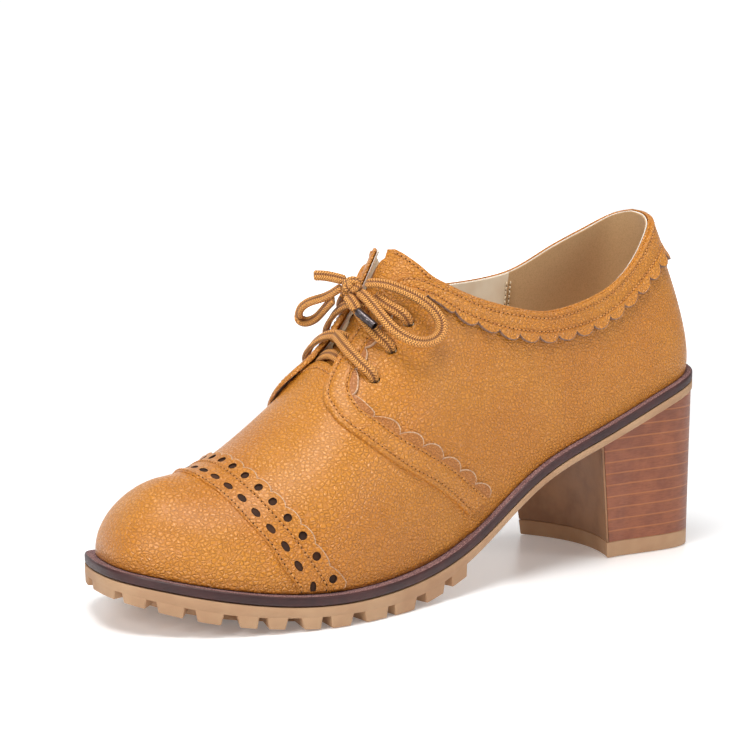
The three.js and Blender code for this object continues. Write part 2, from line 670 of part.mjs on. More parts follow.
// Sole plates: a plate between two depths, with its outline set in from the welt's
function plateBody(inset, topZ, bottomZ, chamfer) {
  const half = [];
  for (let i = 0; i <= PLATE_RIBS; i++) half.push(i / PLATE_RIBS);
  const rounds = [...half, ...half.slice(1, PLATE_RIBS).reverse().map((r) => -r)];
  const widths = chamfer ? [1, 1, 0.5, 0] : [1, 0.5, 0];
  const body = new Body();
  const layer = (zOf, level) => {
    const keys = new Map();
    return rounds.map((round, i) => widths.map((w, j) => {
      const mirror = w === 0 ? Math.min(i, rounds.length - i) : i;
      const key = mirror + ',' + j;
      if (!keys.has(key)) {
        const edge = rim(rounds[mirror], -inset - (chamfer && j === 1 ? chamfer : 0));
        const mid = spine(rounds[mirror]);
        const x = mix(mid.x, edge[0], w);
        const y = mix(mid.y, edge[1], w);
        const drop = chamfer && j === 0 ? chamfer * level : 0;
        keys.set(key, body.add([x, y, zOf(x) - drop]));
      }
      return keys.get(key);
    }));
  };
  const top = layer(topZ, 1);
  const low = layer(bottomZ, -1);
  for (let i = 0; i < rounds.length; i++) {
    const k = (i + 1) % rounds.length;
    for (let j = 0; j < widths.length - 1; j++) {
      body.quad(top[i][j], top[i][j + 1], top[k][j + 1], top[k][j]);
      body.quad(low[i][j], low[k][j], low[k][j + 1], low[i][j + 1]);
    }
    body.quad(top[i][0], top[k][0], low[k][0], low[i][0]);
  }
  return body.outward();
}

// Height of a layer that lies a depth under the seat, measured square to it
function under(depth) {
  return (x) => {
    const e = 0.5;
    const slope = (seat(x + e) - seat(x - e)) / (2 * e);
    return seat(x) - depth * Math.hypot(1, slope);
  };
}

const rubberAt = column(RUBBER, 'at', 'thick');
const rubberTop = under(WELT_THICK + GAP);
const rubberFoot = (x) => under(WELT_THICK + GAP + rubberAt(shareOf(x)))(x);
const lugAt = column(LUG_FLOOR, 'at', 'z');
const lugFloor = (x) => Math.max(0, lugAt(shareOf(x)));

// Solids for the pieces that are cut or joined
const wasm = await Module();
wasm.setup();

function toSolid(body) {
  const vertProperties = new Float32Array(body.points.flat());
  const triVerts = new Uint32Array(body.tris.flat());
  return new wasm.Manifold(new wasm.Mesh({ numProp: 3, vertProperties, triVerts }));
}

function fromSolid(solid) {
  const mesh = solid.getMesh();
  const body = new Body();
  for (let i = 0; i < mesh.vertProperties.length; i += mesh.numProp) {
    body.add(Array.from(mesh.vertProperties.slice(i, i + 3)));
  }
  for (let i = 0; i < mesh.triVerts.length; i += 3) {
    body.tri(mesh.triVerts[i], mesh.triVerts[i + 1], mesh.triVerts[i + 2]);
  }
  return body;
}

// Prism between two matching polygons of 3-D points
function prism(low, high) {
  const body = new Body();
  const n = low.length;
  const shape = low.map((p) => new THREE.Vector2(p[0], p[1]));
  const clockwise = THREE.ShapeUtils.area(shape) < 0;
  for (const level of [low, high]) level.forEach((p) => body.add(p));
  const faces = THREE.ShapeUtils.triangulateShape(shape, []);
  for (const [a, b, c] of faces) {
    const turn = THREE.ShapeUtils.area([shape[a], shape[b], shape[c]]) > 0;
    const [i, j, k] = turn ? [a, b, c] : [a, c, b];
    body.tri(i, k, j);
    body.tri(i + n, j + n, k + n);
  }
  for (let i = 0; i < n; i++) {
    const k = (i + 1) % n;
    if (clockwise) body.quad(k, i, i + n, k + n);
    else body.quad(i, k, k + n, i + n);
  }
  return body.outward();
}

// Outsole: thin plate, lugs under the forefoot, notches at the edge, grooves in the middle
function notchBody(round, wide) {
  const edge = rim(round, 0);
  const out = rim(round, 1);
  const n = [out[0] - edge[0], out[1] - edge[1]];
  const t = [-n[1], n[0]];
  const foot = lugFloor(edge[0]);
  const ends = [NOTCH_CLEAR, -NOTCH_REACH];
  const ring = (half, z) => [[ends[0], -half], [ends[0], half], [ends[1], half], [ends[1], -half]]
    .map(([o, s]) => [edge[0] + n[0] * o + t[0] * s, edge[1] + n[1] * o + t[1] * s, z]);
  const root = foot + NOTCH_DEEP;
  const flare = 1 + (1 - NOTCH_TAPER) * (NOTCH_CLEAR / NOTCH_DEEP);
  return prism(ring((wide / 2) * flare, foot - NOTCH_CLEAR), ring((wide / 2) * NOTCH_TAPER, root));
}

function outsoleSolid() {
  const plate = toSolid(plateBody(0, rubberTop, rubberFoot, 0));
  const mid = (x) => (rubberTop(x) + rubberFoot(x)) / 2;
  const lowest = (x) => Math.min(lugFloor(x), rubberFoot(x) - 0.5);
  let lugs = toSolid(plateBody(0.02, mid, lowest, 0));
  const rear = [[-60, -60], [xOf(LUG_END), -60], [xOf(LUG_END), 60], [-60, 60]];
  lugs = lugs.subtract(toSolid(prism(rear.map(([x, y]) => [x, y, -5]),
    rear.map(([x, y]) => [x, y, HEEL_SKY]))));
  for (const notch of NOTCHES) {
    for (const side of [1, -1]) {
      lugs = lugs.subtract(toSolid(notchBody(side * notch.round, notch.wide)));
    }
  }
  for (const share of MIDDLE_BARS) {
    const x = xOf(share);
    const outer = rim(roundAt(1, 0, share), 0)[1] - BAR_MARGIN;
    const inner = rim(roundAt(-1, 0, share), 0)[1] + BAR_MARGIN;
    const h = BAR_GROOVE / 2;
    const box = [[x - h, inner], [x + h, inner], [x + h, outer], [x - h, outer]];
    const foot = lugFloor(x);
    lugs = lugs.subtract(toSolid(prism(box.map(([a, b]) => [a, b, foot - NOTCH_CLEAR]),
      box.map(([a, b]) => [a, b, foot + NOTCH_DEEP]))));
  }
  return plate.add(lugs);
}

// Heel: stack, top piece and breast cover are cut from one tapered form
function heelRing(z) {
  const t = z / HEEL_FULL;
  const points = [];
  const count = 26;
  for (let i = -count; i <= count; i++) {
    const round = (HEEL_REACH * i) / count;
    const run = (Math.abs(round) - HEEL_CORNER_ROUND) / (HEEL_SIDE_ROUND - HEEL_CORNER_ROUND);
    const side = Math.min(Math.max(run, 0), 1);
    const low = mix(HEEL_INSETS.back, round < 0 ? HEEL_INSETS.inner : HEEL_INSETS.outer, side);
    const p = rim(round, -mix(low, HEEL_TOP_INSET, Math.min(t, 1)));
    points.push([p[0], p[1], z]);
  }
  return points;
}

function breastCutter(shift) {
  const ring = (z) => {
    const points = [];
    const x = BREAST_X + shift + BREAST_LEAN * z;
    const count = 12;
    for (let i = -count; i <= count; i++) {
      const y = (BREAST_CUT_HALF * i) / count;
      const hollow = BREAST_HOLLOW * (1 - (y / BREAST_HALF) ** 2);
      points.push([x - hollow, y, z]);
    }
    points.push([BREAST_CUT_FRONT, BREAST_CUT_HALF, z], [BREAST_CUT_FRONT, -BREAST_CUT_HALF, z]);
    return points;
  };
  return toSolid(prism(ring(-5), ring(HEEL_SKY + 20)));
}

function block(low, high) {
  return toSolid(prism(heelRing(low), heelRing(high)));
}

function skyCutter() {
  const foot = (x) => rubberFoot(x) - GAP;
  return toSolid(plateBody(-8, () => HEEL_SKY + 10, foot, 0));
}

const sky = skyCutter();
const stackFloor = TOP_PIECE_THICK + GAP;
const heelSolid = block(stackFloor, HEEL_SKY).subtract(sky).subtract(breastCutter(0));
const coverSolid = block(stackFloor, HEEL_SKY).subtract(sky)
  .intersect(breastCutter(GAP)).subtract(breastCutter(GAP + COVER_THICK));
const topPieceSolid = block(0, TOP_PIECE_THICK).subtract(breastCutter(GAP + COVER_THICK));

// Upper with its lace holes
function eyeletCutter(round, up) {
  const p = lastPoint(round, up);
  const n = lastNormal(round, up);
  const normal = new THREE.Vector3(...n);
  const turn = new THREE.Quaternion().setFromUnitVectors(new THREE.Vector3(0, 0, 1), normal);
  const ring = (reach) => {
    const points = [];
    const sides = 10;
    for (let i = 0; i < sides; i++) {
      const a = (2 * Math.PI * i) / sides;
      const v = new THREE.Vector3(EYELET_RADIUS * Math.cos(a), EYELET_RADIUS * Math.sin(a), reach);
      v.applyQuaternion(turn);
      points.push([p[0] + v.x, p[1] + v.y, p[2] + v.z]);
    }
    return points;
  };
  const body = new Body();
  const low = ring(-6).map((q) => body.add(q));
  const high = ring(6).map((q) => body.add(q));
  for (let i = 0; i < low.length; i++) {
    const k = (i + 1) % low.length;
    body.quad(low[i], low[k], high[k], high[i]);
    if (i > 1) {
      body.tri(low[0], low[i], low[i - 1]);
      body.tri(high[0], high[i - 1], high[i]);
    }
  }
  return toSolid(body.outward());
}

let upperSolid = toSolid(upperBody());
for (const hole of EYELETS) {
  for (const side of [1, -1]) {
    upperSolid = upperSolid.subtract(eyeletCutter(side * hole.round, hole.up));
  }
}

// Tongue: follows the last under the facings
function tongueBody() {
  const grid = [];
  for (let i = 0; i <= TONGUE_STATIONS; i++) {
    const t = i / TONGUE_STATIONS;
    const round = mix(TONGUE_ROUND[0], TONGUE_ROUND[1], t);
    const half = mix(TONGUE_HALF[0], TONGUE_HALF[1], t);
    const row = [];
    for (let j = 0; j <= TONGUE_ACROSS; j++) {
      const want = mix(half, -half, j / TONGUE_ACROSS);
      const side = want >= 0 ? 1 : -1;
      let low = 0.2;
      let high = 1;
      for (let k = 0; k < 30; k++) {
        const mid = (low + high) / 2;
        const y = lastPoint(side * round, mid)[1] - spine(round).y;
        if (Math.abs(y) > Math.abs(want)) low = mid;
        else high = mid;
      }
      row.push([side * round, low]);
    }
    grid.push(row);
  }
  const lift = -(UPPER_WALL + TONGUE_GAP + TONGUE_WALL);
  return patchBody(grid, lift, TONGUE_WALL);
}

// Insole inside the upper's wall
function insoleBody() {
  const inset = WELT_LIP + UPPER_WALL + 0.6;
  const above = (h) => (x) => seat(x) + h;
  return plateBody(inset, above(GAP + INSOLE_THICK), above(GAP), 0);
}

// Back tab over the collar strip
function tabBody() {
  const grid = [];
  for (let i = 0; i <= 6; i++) {
    const row = [];
    for (let j = 0; j <= 4; j++) {
      row.push([mix(TAB_HALF_ROUND, -TAB_HALF_ROUND, i / 6), mix(TAB_TOP, TAB_FOOT, j / 4)]);
    }
    grid.push(row);
  }
  return patchBody(grid, STRIP_GAP + BAND_THICK + GAP, TAB_THICK);
}

// Flat lace along a path of points, with its broad face turned to the given normals
function laceBody(path, normals, wide, thick, sides) {
  const curve = new THREE.CatmullRomCurve3(path.map((p) => new THREE.Vector3(...p)),
    false, 'centripetal');
  const steps = Math.max(path.length - 1, Math.round(curve.getLength() / LACE_STEP));
  const body = new Body();
  const rings = [];
  for (let i = 0; i <= steps; i++) {
    const t = i / steps;
    const p = curve.getPoint(t);
    const d = curve.getTangent(t);
    const k = Math.min(Math.floor(t * (normals.length - 1)), normals.length - 2);
    const w = t * (normals.length - 1) - k;
    const f = new THREE.Vector3(...normals[k]).lerp(new THREE.Vector3(...normals[k + 1]), w);
    const across = new THREE.Vector3().crossVectors(d, f).normalize();
    const out = new THREE.Vector3().crossVectors(across, d).normalize();
    const ring = [];
    for (let m = 0; m < sides; m++) {
      const a = (2 * Math.PI * (m + 0.5)) / sides;
      const q = p.clone().addScaledVector(across, (Math.cos(a) * wide) / 2)
        .addScaledVector(out, (Math.sin(a) * thick) / 2);
      ring.push(body.add([q.x, q.y, q.z]));
    }
    rings.push(ring);
  }
  for (let i = 0; i < steps; i++) {
    for (let m = 0; m < sides; m++) {
      const n = (m + 1) % sides;
      body.quad(rings[i][m], rings[i][n], rings[i + 1][n], rings[i + 1][m]);
    }
  }
  for (let m = 2; m < sides; m++) {
    body.tri(rings[0][0], rings[0][m], rings[0][m - 1]);
    body.tri(rings[steps][0], rings[steps][m - 1], rings[steps][m]);
  }
  return body.outward();
}

// Lace lying over the last at a list of [round, up, lift]
function laceOnLast(places) {
  const path = places.map(([round, up, lift]) => offLast(round, up, lift));
  const normals = places.map(([round, up]) => lastNormal(round, up));
  return laceBody(path, normals, LACE_WIDE, LACE_THICK, 8);
}

function crossingSolid(hole) {
  const run = (side) => toSolid(laceOnLast(CROSSING.map((row) => [
    side * row.side * (hole.round + row.ahead), row.up + (hole.up - EYELETS[0].up), row.lift,
  ])));
  return run(1).add(run(-1));
}

function topLaceBody(side) {
  return laceOnLast(TOP_LACE.map((row) => [side * row.round, row.up, row.lift]));
}

function baseBarBody() {
  const edge = facingUp(BASE_BAR_ROUND) + 0.035;
  const places = [];
  for (const up of [edge, mix(edge, 0.99, 0.5), 0.99]) {
    places.push([BASE_BAR_ROUND, up, BASE_BAR_LIFT]);
  }
  return laceOnLast([...places, ...places.slice().reverse().map(([r, u, l]) => [-r, u, l])]);
}

const LOOP_FACE = [[0.35, 0.55, 0.75], [0.35, 0.65, 0.65]];
const FAR_FACE = [[0.55, 0.25, 0.8], [0.75, 0.35, 0.55]];
function freeLace(path, normals) {
  return laceBody(path, normals, LACE_WIDE, LACE_THICK, 8);
}

function knotBody() {
  const shape = new THREE.SphereGeometry(1, 12, 8);
  shape.deleteAttribute('normal');
  shape.deleteAttribute('uv');
  const merged = mergeVertices(shape, 1e-5);
  const body = new Body();
  const at = merged.getAttribute('position');
  for (let i = 0; i < at.count; i++) {
    const p = [at.getX(i), at.getY(i), at.getZ(i)];
    body.add(p.map((value, k) => KNOT[k] + value * KNOT_RADII[k]));
  }
  const order = merged.getIndex();
  for (let i = 0; i < order.count; i += 3) {
    body.tri(order.getX(i), order.getX(i + 1), order.getX(i + 2));
  }
  return body.outward();
}

const COLOURS = {
  leather: 0xc8893a, strip: 0xc48639, rubber: 0xbf9b7c, welt: 0x4d2d33, stack: 0x8d5538,
  lining: 0xcdb596, lace: 0xc08a4c, metal: 0x55504e,
};

const group = new THREE.Group();
function put(name, body, colour, roughness, metalness = 0) {
  const geometry = new THREE.BufferGeometry();
  geometry.setAttribute('position', new THREE.Float32BufferAttribute(body.points.flat(), 3));
  geometry.setIndex(body.tris.flat());
  geometry.computeVertexNormals();
  const material = new THREE.MeshStandardMaterial({ color: colour, roughness, metalness });
  const mesh = new THREE.Mesh(geometry, material);
  mesh.name = name;
  group.add(mesh);
}

put('upper', fromSolid(upperSolid), COLOURS.leather, 0.5);
put('tongue', tongueBody(), COLOURS.leather, 0.5);
put('insole', insoleBody(), COLOURS.lining, 0.85);
put('welt', plateBody(0, seat, under(WELT_THICK), WELT_CHAMFER), COLOURS.welt, 0.6);
put('outsole', fromSolid(outsoleSolid()), COLOURS.rubber, 0.7);
put('heel_stack', fromSolid(heelSolid), COLOURS.stack, 0.5);
put('heel_breast_cover', fromSolid(coverSolid), COLOURS.stack, 0.6);
put('heel_top_piece', fromSolid(topPieceSolid), COLOURS.rubber, 0.7);
put('toe_cap_band', patchBody(toeStrip('front', 'seam', TOE_STATIONS, 0), STRIP_GAP, BAND_THICK),
  COLOURS.strip, 0.5);
put('toe_scallop_strip',
  patchBody(toeStrip('split', 'tips', 0, TOE_SCALLOPS), STRIP_GAP, BAND_THICK),
  COLOURS.strip, 0.5);
put('facing_strip_outer', patchBody(facingGrid(1), STRIP_GAP, BAND_THICK), COLOURS.strip, 0.5);
put('facing_strip_inner', patchBody(facingGrid(-1), STRIP_GAP, BAND_THICK), COLOURS.strip, 0.5);
put('collar_strip', patchBody(collarGrid(), STRIP_GAP, BAND_THICK), COLOURS.strip, 0.5);
put('back_tab', tabBody(), COLOURS.strip, 0.5);
put('lace_bar_low', baseBarBody(), COLOURS.lace, 0.8);
put('lace_crossing_low', fromSolid(crossingSolid(EYELETS[0])), COLOURS.lace, 0.8);
put('lace_crossing_middle', fromSolid(crossingSolid(EYELETS[1])), COLOURS.lace, 0.8);
put('lace_top_outer', topLaceBody(1), COLOURS.lace, 0.8);
put('lace_top_inner', topLaceBody(-1), COLOURS.lace, 0.8);
put('bow_knot', knotBody(), COLOURS.lace, 0.8);
put('bow_loop_outer', freeLace(NEAR_LOOP, LOOP_FACE), COLOURS.lace, 0.8);
put('bow_loop_inner', freeLace(FAR_LOOP, FAR_FACE), COLOURS.lace, 0.8);
put('bow_end_outer', freeLace(NEAR_END, LOOP_FACE), COLOURS.lace, 0.8);
put('bow_end_inner', freeLace(FAR_END, FAR_FACE), COLOURS.lace, 0.8);
put('aglet_outer', laceBody(AGLET, LOOP_FACE, 2 * AGLET_RADIUS, 2 * AGLET_RADIUS, 8),
  COLOURS.metal, 0.35, 0.9);

export default group;
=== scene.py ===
# Looks of the lace-up shoe with a block heel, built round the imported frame.
# Places are worked out in millimetres in the frame's own axes and written to meshes in metres.
import math

import bmesh
import bpy
import numpy as np
from mathutils import Matrix, Vector


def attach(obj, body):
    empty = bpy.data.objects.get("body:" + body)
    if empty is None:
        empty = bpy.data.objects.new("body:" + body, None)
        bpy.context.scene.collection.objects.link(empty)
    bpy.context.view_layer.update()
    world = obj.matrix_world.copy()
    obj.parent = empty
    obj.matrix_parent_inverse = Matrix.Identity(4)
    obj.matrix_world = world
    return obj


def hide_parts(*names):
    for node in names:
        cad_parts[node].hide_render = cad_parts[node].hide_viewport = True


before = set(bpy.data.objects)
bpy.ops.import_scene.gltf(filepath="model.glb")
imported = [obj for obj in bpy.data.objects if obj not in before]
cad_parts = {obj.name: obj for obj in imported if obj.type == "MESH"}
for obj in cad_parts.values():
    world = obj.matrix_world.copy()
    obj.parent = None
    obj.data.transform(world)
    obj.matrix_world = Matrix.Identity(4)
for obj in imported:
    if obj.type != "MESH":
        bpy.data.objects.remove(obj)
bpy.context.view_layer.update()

MM = 0.001
SCENE = bpy.context.scene
WALL_SIDE = (-0.57, -0.81, -0.10)

# Camera: 540 mm from the shoe's middle, 35 degrees round from its outer side
CAMERA_PLACE = (406.03, 427.19, 131.95)
CAMERA_RIGHT = (-0.81915, 0.57357, 0.00347)
CAMERA_UP = (-0.06459, -0.09824, 0.99306)
CAMERA_LENS = 74.5
SENSOR = 36.0

# The last, as in the part's source
LENGTH = 240.0
HEEL_BACK_X = -30.0
BALL_WIDTH = 85.5
GAP = 0.3
WELT_THICK = 2.9
WELT_LIP = 3.4
OUTLINE = {
    "at": [0.000, 0.030, 0.120, 0.280, 0.450, 0.600, 0.720, 0.820, 0.910, 0.975, 1.000],
    "outer": [0.000, 0.262, 0.346, 0.363, 0.394, 0.470, 0.521, 0.479, 0.379, 0.228, 0.045],
    "inner": [0.000, 0.235, 0.320, 0.318, 0.318, 0.412, 0.478, 0.462, 0.378, 0.250, 0.045],
}
SEAT = {
    "at": [0.00, 0.12, 0.25, 0.38, 0.50, 0.60, 0.70, 0.80, 0.90, 1.00],
    "z": [68.6, 59.6, 48.5, 36.5, 19.5, 12.2, 10.2, 10.6, 14.2, 19.4],
}
LAST = {
    "at": [0.00, 0.15, 0.30, 0.45, 0.55, 0.60, 0.65, 0.75, 0.85, 1.00],
    "ridge": [165.0, 163.0, 158.0, 149.6, 120.7, 95.9, 79.8, 56.9, 45.2, 44.7],
    "side": [0.0, 0.0, 0.0, 1.0, 2.0, 2.0, 2.0, 1.0, 0.5, 0.0],
    "bulge": [0.182, 0.182, 0.080, 0.060, 0.060, 0.060, 0.060, 0.050, 0.040, 0.030],
    "wall": [0.202, 0.202, 0.400, 0.420, 0.460, 0.490, 0.520, 0.580, 0.469, 0.594],
    "crown": [0.009, 0.009, 0.500, 0.400, 0.380, 0.420, 0.460, 0.560, 0.480, 0.610],
}
HEEL_POLE = 0.14
TOE_POLE = 0.90
POLE_SOFT = 0.04
COLLAR_OUTER = {
    "round": [0.000, 0.057, 0.137, 0.182, 0.222, 0.281, 0.331, 0.373, 0.417, 0.468, 0.513, 0.526,
              0.536, 0.548, 0.556],
    "up": [0.533, 0.524, 0.480, 0.430, 0.387, 0.342, 0.322, 0.329, 0.371, 0.446, 0.556, 0.611,
           0.679, 0.800, 0.930],
}
COLLAR_INNER = {
    "round": [0.000, 0.090, 0.157, 0.227, 0.285, 0.323, 0.396, 0.440, 0.480, 0.513, 0.526, 0.536,
              0.548, 0.556],
    "up": [0.533, 0.520, 0.494, 0.452, 0.396, 0.378, 0.391, 0.430, 0.500, 0.590, 0.640, 0.700,
           0.806, 0.930],
}
THROAT = {
    "at": [0.560, 0.588, 0.617, 0.641, 0.662, 0.682, 0.700],
    "half": [3.0, 4.6, 6.6, 8.2, 9.4, 10.9, 12.6],
}
EAR_ROUND = 0.556
SEAM_ROUND = 0.6435
CREST_UP = 0.86
EYELETS = [(0.615, 0.630), (0.587, 0.633), (0.562, 0.604)]
EYELET_RADIUS = 1.9
TOE_BAND = {
    "up": [0.035, 0.130, 0.260, 0.430, 0.610, 0.800, 1.000],
    "front": [0.801, 0.816, 0.828, 0.844, 0.856, 0.867, 0.873],
    "seam": [0.763, 0.779, 0.795, 0.812, 0.824, 0.832, 0.834],
    "tips": [0.735, 0.757, 0.773, 0.790, 0.802, 0.810, 0.812],
}
FACING_STRIP = {
    "round": [0.588, 0.604, 0.622, 0.641, 0.658, 0.670, 0.673, 0.671, 0.657, 0.634, 0.606, 0.574,
              0.541, 0.505],
    "up": [0.890, 0.895, 0.895, 0.880, 0.850, 0.800, 0.724, 0.634, 0.515, 0.395, 0.295, 0.205,
           0.125, 0.045],
    "back_round": [0.567, 0.585, 0.604, 0.624, 0.634, 0.636, 0.634, 0.627, 0.612, 0.594, 0.568,
                   0.540, 0.507, 0.462],
    "back_up": [0.690, 0.705, 0.722, 0.700, 0.672, 0.630, 0.580, 0.530, 0.465, 0.390, 0.302,
                0.218, 0.145, 0.045],
}
COLLAR_STRIP_OUTER = {
    "round": [0.566, 0.559, 0.548, 0.537, 0.525, 0.513, 0.484, 0.457, 0.429, 0.400, 0.368, 0.331,
              0.271, 0.211, 0.160, 0.113, 0.057, 0.000],
    "top": [0.798, 0.761, 0.700, 0.641, 0.586, 0.545, 0.466, 0.411, 0.371, 0.339, 0.314, 0.309,
            0.335, 0.385, 0.438, 0.482, 0.511, 0.520],
    "tips": [0.768, 0.700, 0.622, 0.565, 0.523, 0.476, 0.402, 0.356, 0.313, 0.280, 0.256, 0.247,
             0.265, 0.312, 0.354, 0.385, 0.390, 0.388],
}
COLLAR_STRIP_INNER = {
    "round": [0.057, 0.113, 0.160, 0.211, 0.271, 0.323, 0.368, 0.400, 0.429, 0.457, 0.484, 0.513,
              0.525, 0.537, 0.548, 0.559, 0.566],
    "top": [0.511, 0.497, 0.480, 0.451, 0.395, 0.364, 0.367, 0.381, 0.405, 0.440, 0.494, 0.576,
            0.618, 0.672, 0.725, 0.775, 0.800],
    "tips": [0.392, 0.398, 0.392, 0.366, 0.320, 0.302, 0.310, 0.326, 0.352, 0.386, 0.430, 0.500,
             0.540, 0.590, 0.645, 0.710, 0.770],
}
TAB_HALF_ROUND = 0.030
TAB_TOP = 0.515
TAB_FOOT = 0.425
TONGUE_ROUND = (0.700, 0.561)
TONGUE_HALF = (20.0, 12.0)

# Sole and heel
RUBBER = {
    "at": [0.00, 0.12, 0.22, 0.36, 0.48, 0.60, 0.70, 0.80, 0.90, 1.00],
    "thick": [3.1, 2.9, 2.5, 2.2, 2.6, 4.2, 3.5, 3.2, 3.6, 3.0],
}
LUG_FLOOR = {
    "at": [0.44, 0.50, 0.57, 0.62, 0.65, 0.70, 0.75, 0.82, 0.88, 0.94, 1.00],
    "z": [16.0, 8.2, 2.6, 0.3, -0.3, -0.4, -0.2, 1.1, 2.9, 6.0, 10.2],
}
LUG_END = 0.522
NOTCH_DEEP = 3.6
NOTCH_REACH = 11.0
NOTCH_TAPER = 0.62
NOTCHES = [(0.5505, 4.6), (0.5982, 6.1), (0.6475, 3.9), (0.6946, 6.1), (0.7358, 3.9),
           (0.7728, 6.1), (0.8082, 3.6), (0.8436, 5.8), (0.8870, 4.4), (0.9293, 4.2), (0.9697, 4.0)]
MIDDLE_BARS = [0.590, 0.655, 0.720, 0.785, 0.850]
BAR_GROOVE = 5.0
BAR_MARGIN = 17.0
TOP_PIECE_THICK = 5.9
COVER_THICK = 1.0
HEEL_TOP_INSET = 0.4
HEEL_INSETS = {"outer": 6.6, "back": 0.5, "inner": 3.2}
HEEL_CORNER_ROUND = 0.08
HEEL_SIDE_ROUND = 0.22
HEEL_REACH = 0.40
HEEL_FULL = 62.0
BREAST_X = 19.3
BREAST_LEAN = 0.125
BREAST_HOLLOW = 7.5
BREAST_HALF = 24.5
STACK_LAYER = 4.3

# Laces
LACE_WIDE = 3.9
LACE_THICK = 2.1
KNOT = (118.8, 3.6, 100.4)
NEAR_LOOP = [
    (116.6, 9.2, 102.0), (113.6, 13.6, 102.0), (109.5, 18.9, 100.2), (104.4, 24.2, 96.4),
    (100.6, 27.9, 90.9), (101.2, 29.2, 86.4), (105.3, 29.2, 84.0), (110.3, 27.6, 84.2),
    (114.9, 23.6, 87.4), (117.4, 17.4, 93.0), (118.4, 11.4, 97.6), (118.9, 8.6, 99.2),
]
FAR_LOOP = [
    (119.4, -1.8, 100.2), (122.5, -7.0, 96.8), (125.2, -12.0, 95.0), (127.0, -15.4, 91.9),
    (125.6, -16.4, 88.4), (123.2, -13.0, 88.8), (122.0, -8.0, 92.6), (121.4, -3.2, 96.2),
]
FAR_END = [(118.2, -1.6, 102.6), (119.6, -4.2, 103.2), (122.4, -7.2, 103.9), (125.4, -9.2, 104.0)]
NEAR_END = [(122.3, 6.6, 97.7), (122.4, 9.2, 96.0), (122.2, 11.6, 93.6)]
AGLET = [(122.2, 12.1, 93.2), (119.9, 18.6, 88.8)]
LOOP_FACE = [(0.35, 0.55, 0.75), (0.35, 0.65, 0.65)]
FAR_FACE = [(0.55, 0.25, 0.80), (0.75, 0.35, 0.55)]

# Layers of the leather, over the last
QUARTER_LIFT = 0.55
STRIP_THICK = 1.15
LOBE_THICK = 0.75
STITCH_PITCH = 1.75
STITCH_LONG = 1.25
THREAD_RADIUS = 0.26


def spline(xs, ys):
    """Natural cubic spline through (xs, ys), for arrays."""
    xs = np.asarray(xs, float)
    ys = np.asarray(ys, float)
    n = len(xs)
    h = np.diff(xs)
    system = np.eye(n)
    right = np.zeros((n,) + ys.shape[1:])
    for i in range(1, n - 1):
        system[i, i - 1:i + 2] = h[i - 1], 2 * (h[i - 1] + h[i]), h[i]
        right[i] = 6 * ((ys[i + 1] - ys[i]) / h[i] - (ys[i] - ys[i - 1]) / h[i - 1])
    bend = np.linalg.solve(system, right)

    def at(x):
        x = np.clip(np.asarray(x, float), xs[0], xs[-1])
        i = np.clip(np.searchsorted(xs, x, side="right") - 1, 0, n - 2)
        a = x - xs[i]
        b = xs[i + 1] - x
        step = h[i]
        if ys.ndim > 1:
            a, b, step = a[..., None], b[..., None], step[..., None]
        return ((bend[i] * b**3 + bend[i + 1] * a**3) / (6 * step)
                + (ys[i] / step - bend[i] * step / 6) * b
                + (ys[i + 1] / step - bend[i + 1] * step / 6) * a)

    return at


def column(table, name, key="at"):
    return spline(table[key], table[name])


def mix(a, b, t):
    return a + (b - a) * t


def smooth(low, high, x):
    t = np.clip((x - low) / (high - low), 0, 1)
    return t * t * (3 - 2 * t)


def share_of(x):
    return (x - HEEL_BACK_X) / LENGTH


def x_of(share):
    return HEEL_BACK_X + share * LENGTH


# Outline of the sole as a closed curve, with the toe tip at HALF_TURN
HALF_TURN = len(OUTLINE["at"]) - 1
TURN = 2 * HALF_TURN
ring = [(x_of(a), BALL_WIDTH * o) for a, o in zip(OUTLINE["at"], OUTLINE["outer"])]
for k in range(HALF_TURN - 1, 0, -1):
    ring.append((x_of(OUTLINE["at"][k]), -BALL_WIDTH * OUTLINE["inner"][k]))
ring_steps = np.arange(-4, TURN + 5)
ring_at = spline(ring_steps, np.array([ring[i % TURN] for i in ring_steps]))
ARC_T = np.linspace(0, HALF_TURN, 1001)
arc_points = ring_at(ARC_T)
ARC = np.concatenate([[0], np.cumsum(np.linalg.norm(np.diff(arc_points, axis=0), axis=1))])
HALF_ARC = ARC[-1]


def turn_of(rnd):
    rnd = np.asarray(rnd, float)
    rnd = np.where(rnd > 1, rnd - 2, np.where(rnd < -1, rnd + 2, rnd))
    t = np.interp(np.abs(rnd) * HALF_ARC, ARC, ARC_T)
    return np.where(rnd < 0, TURN - t, t)


def rim(rnd, out):
    """Outline point, moved out along the outline's normal."""
    t = turn_of(rnd)
    e = 1e-3
    tangent = ring_at(t + e) - ring_at(t - e)
    tangent /= np.linalg.norm(tangent, axis=-1, keepdims=True)
    point = ring_at(t)
    out = np.asarray(out, float)
    return np.stack([point[..., 0] - tangent[..., 1] * out, point[..., 1] + tangent[..., 0] * out], -1)


seat_at = column(SEAT, "z")
ridge_at = column(LAST, "ridge")
side_at = column(LAST, "side")
bulge_at = column(LAST, "bulge")
wall_at = column(LAST, "wall")
crown_at = column(LAST, "crown")


def seat(x):
    return seat_at(share_of(x))


def pole_share(share):
    low = HEEL_POLE + POLE_SOFT * np.log1p(np.exp((share - HEEL_POLE) / POLE_SOFT))
    return TOE_POLE - POLE_SOFT * np.log1p(np.exp((TOE_POLE - low) / POLE_SOFT))


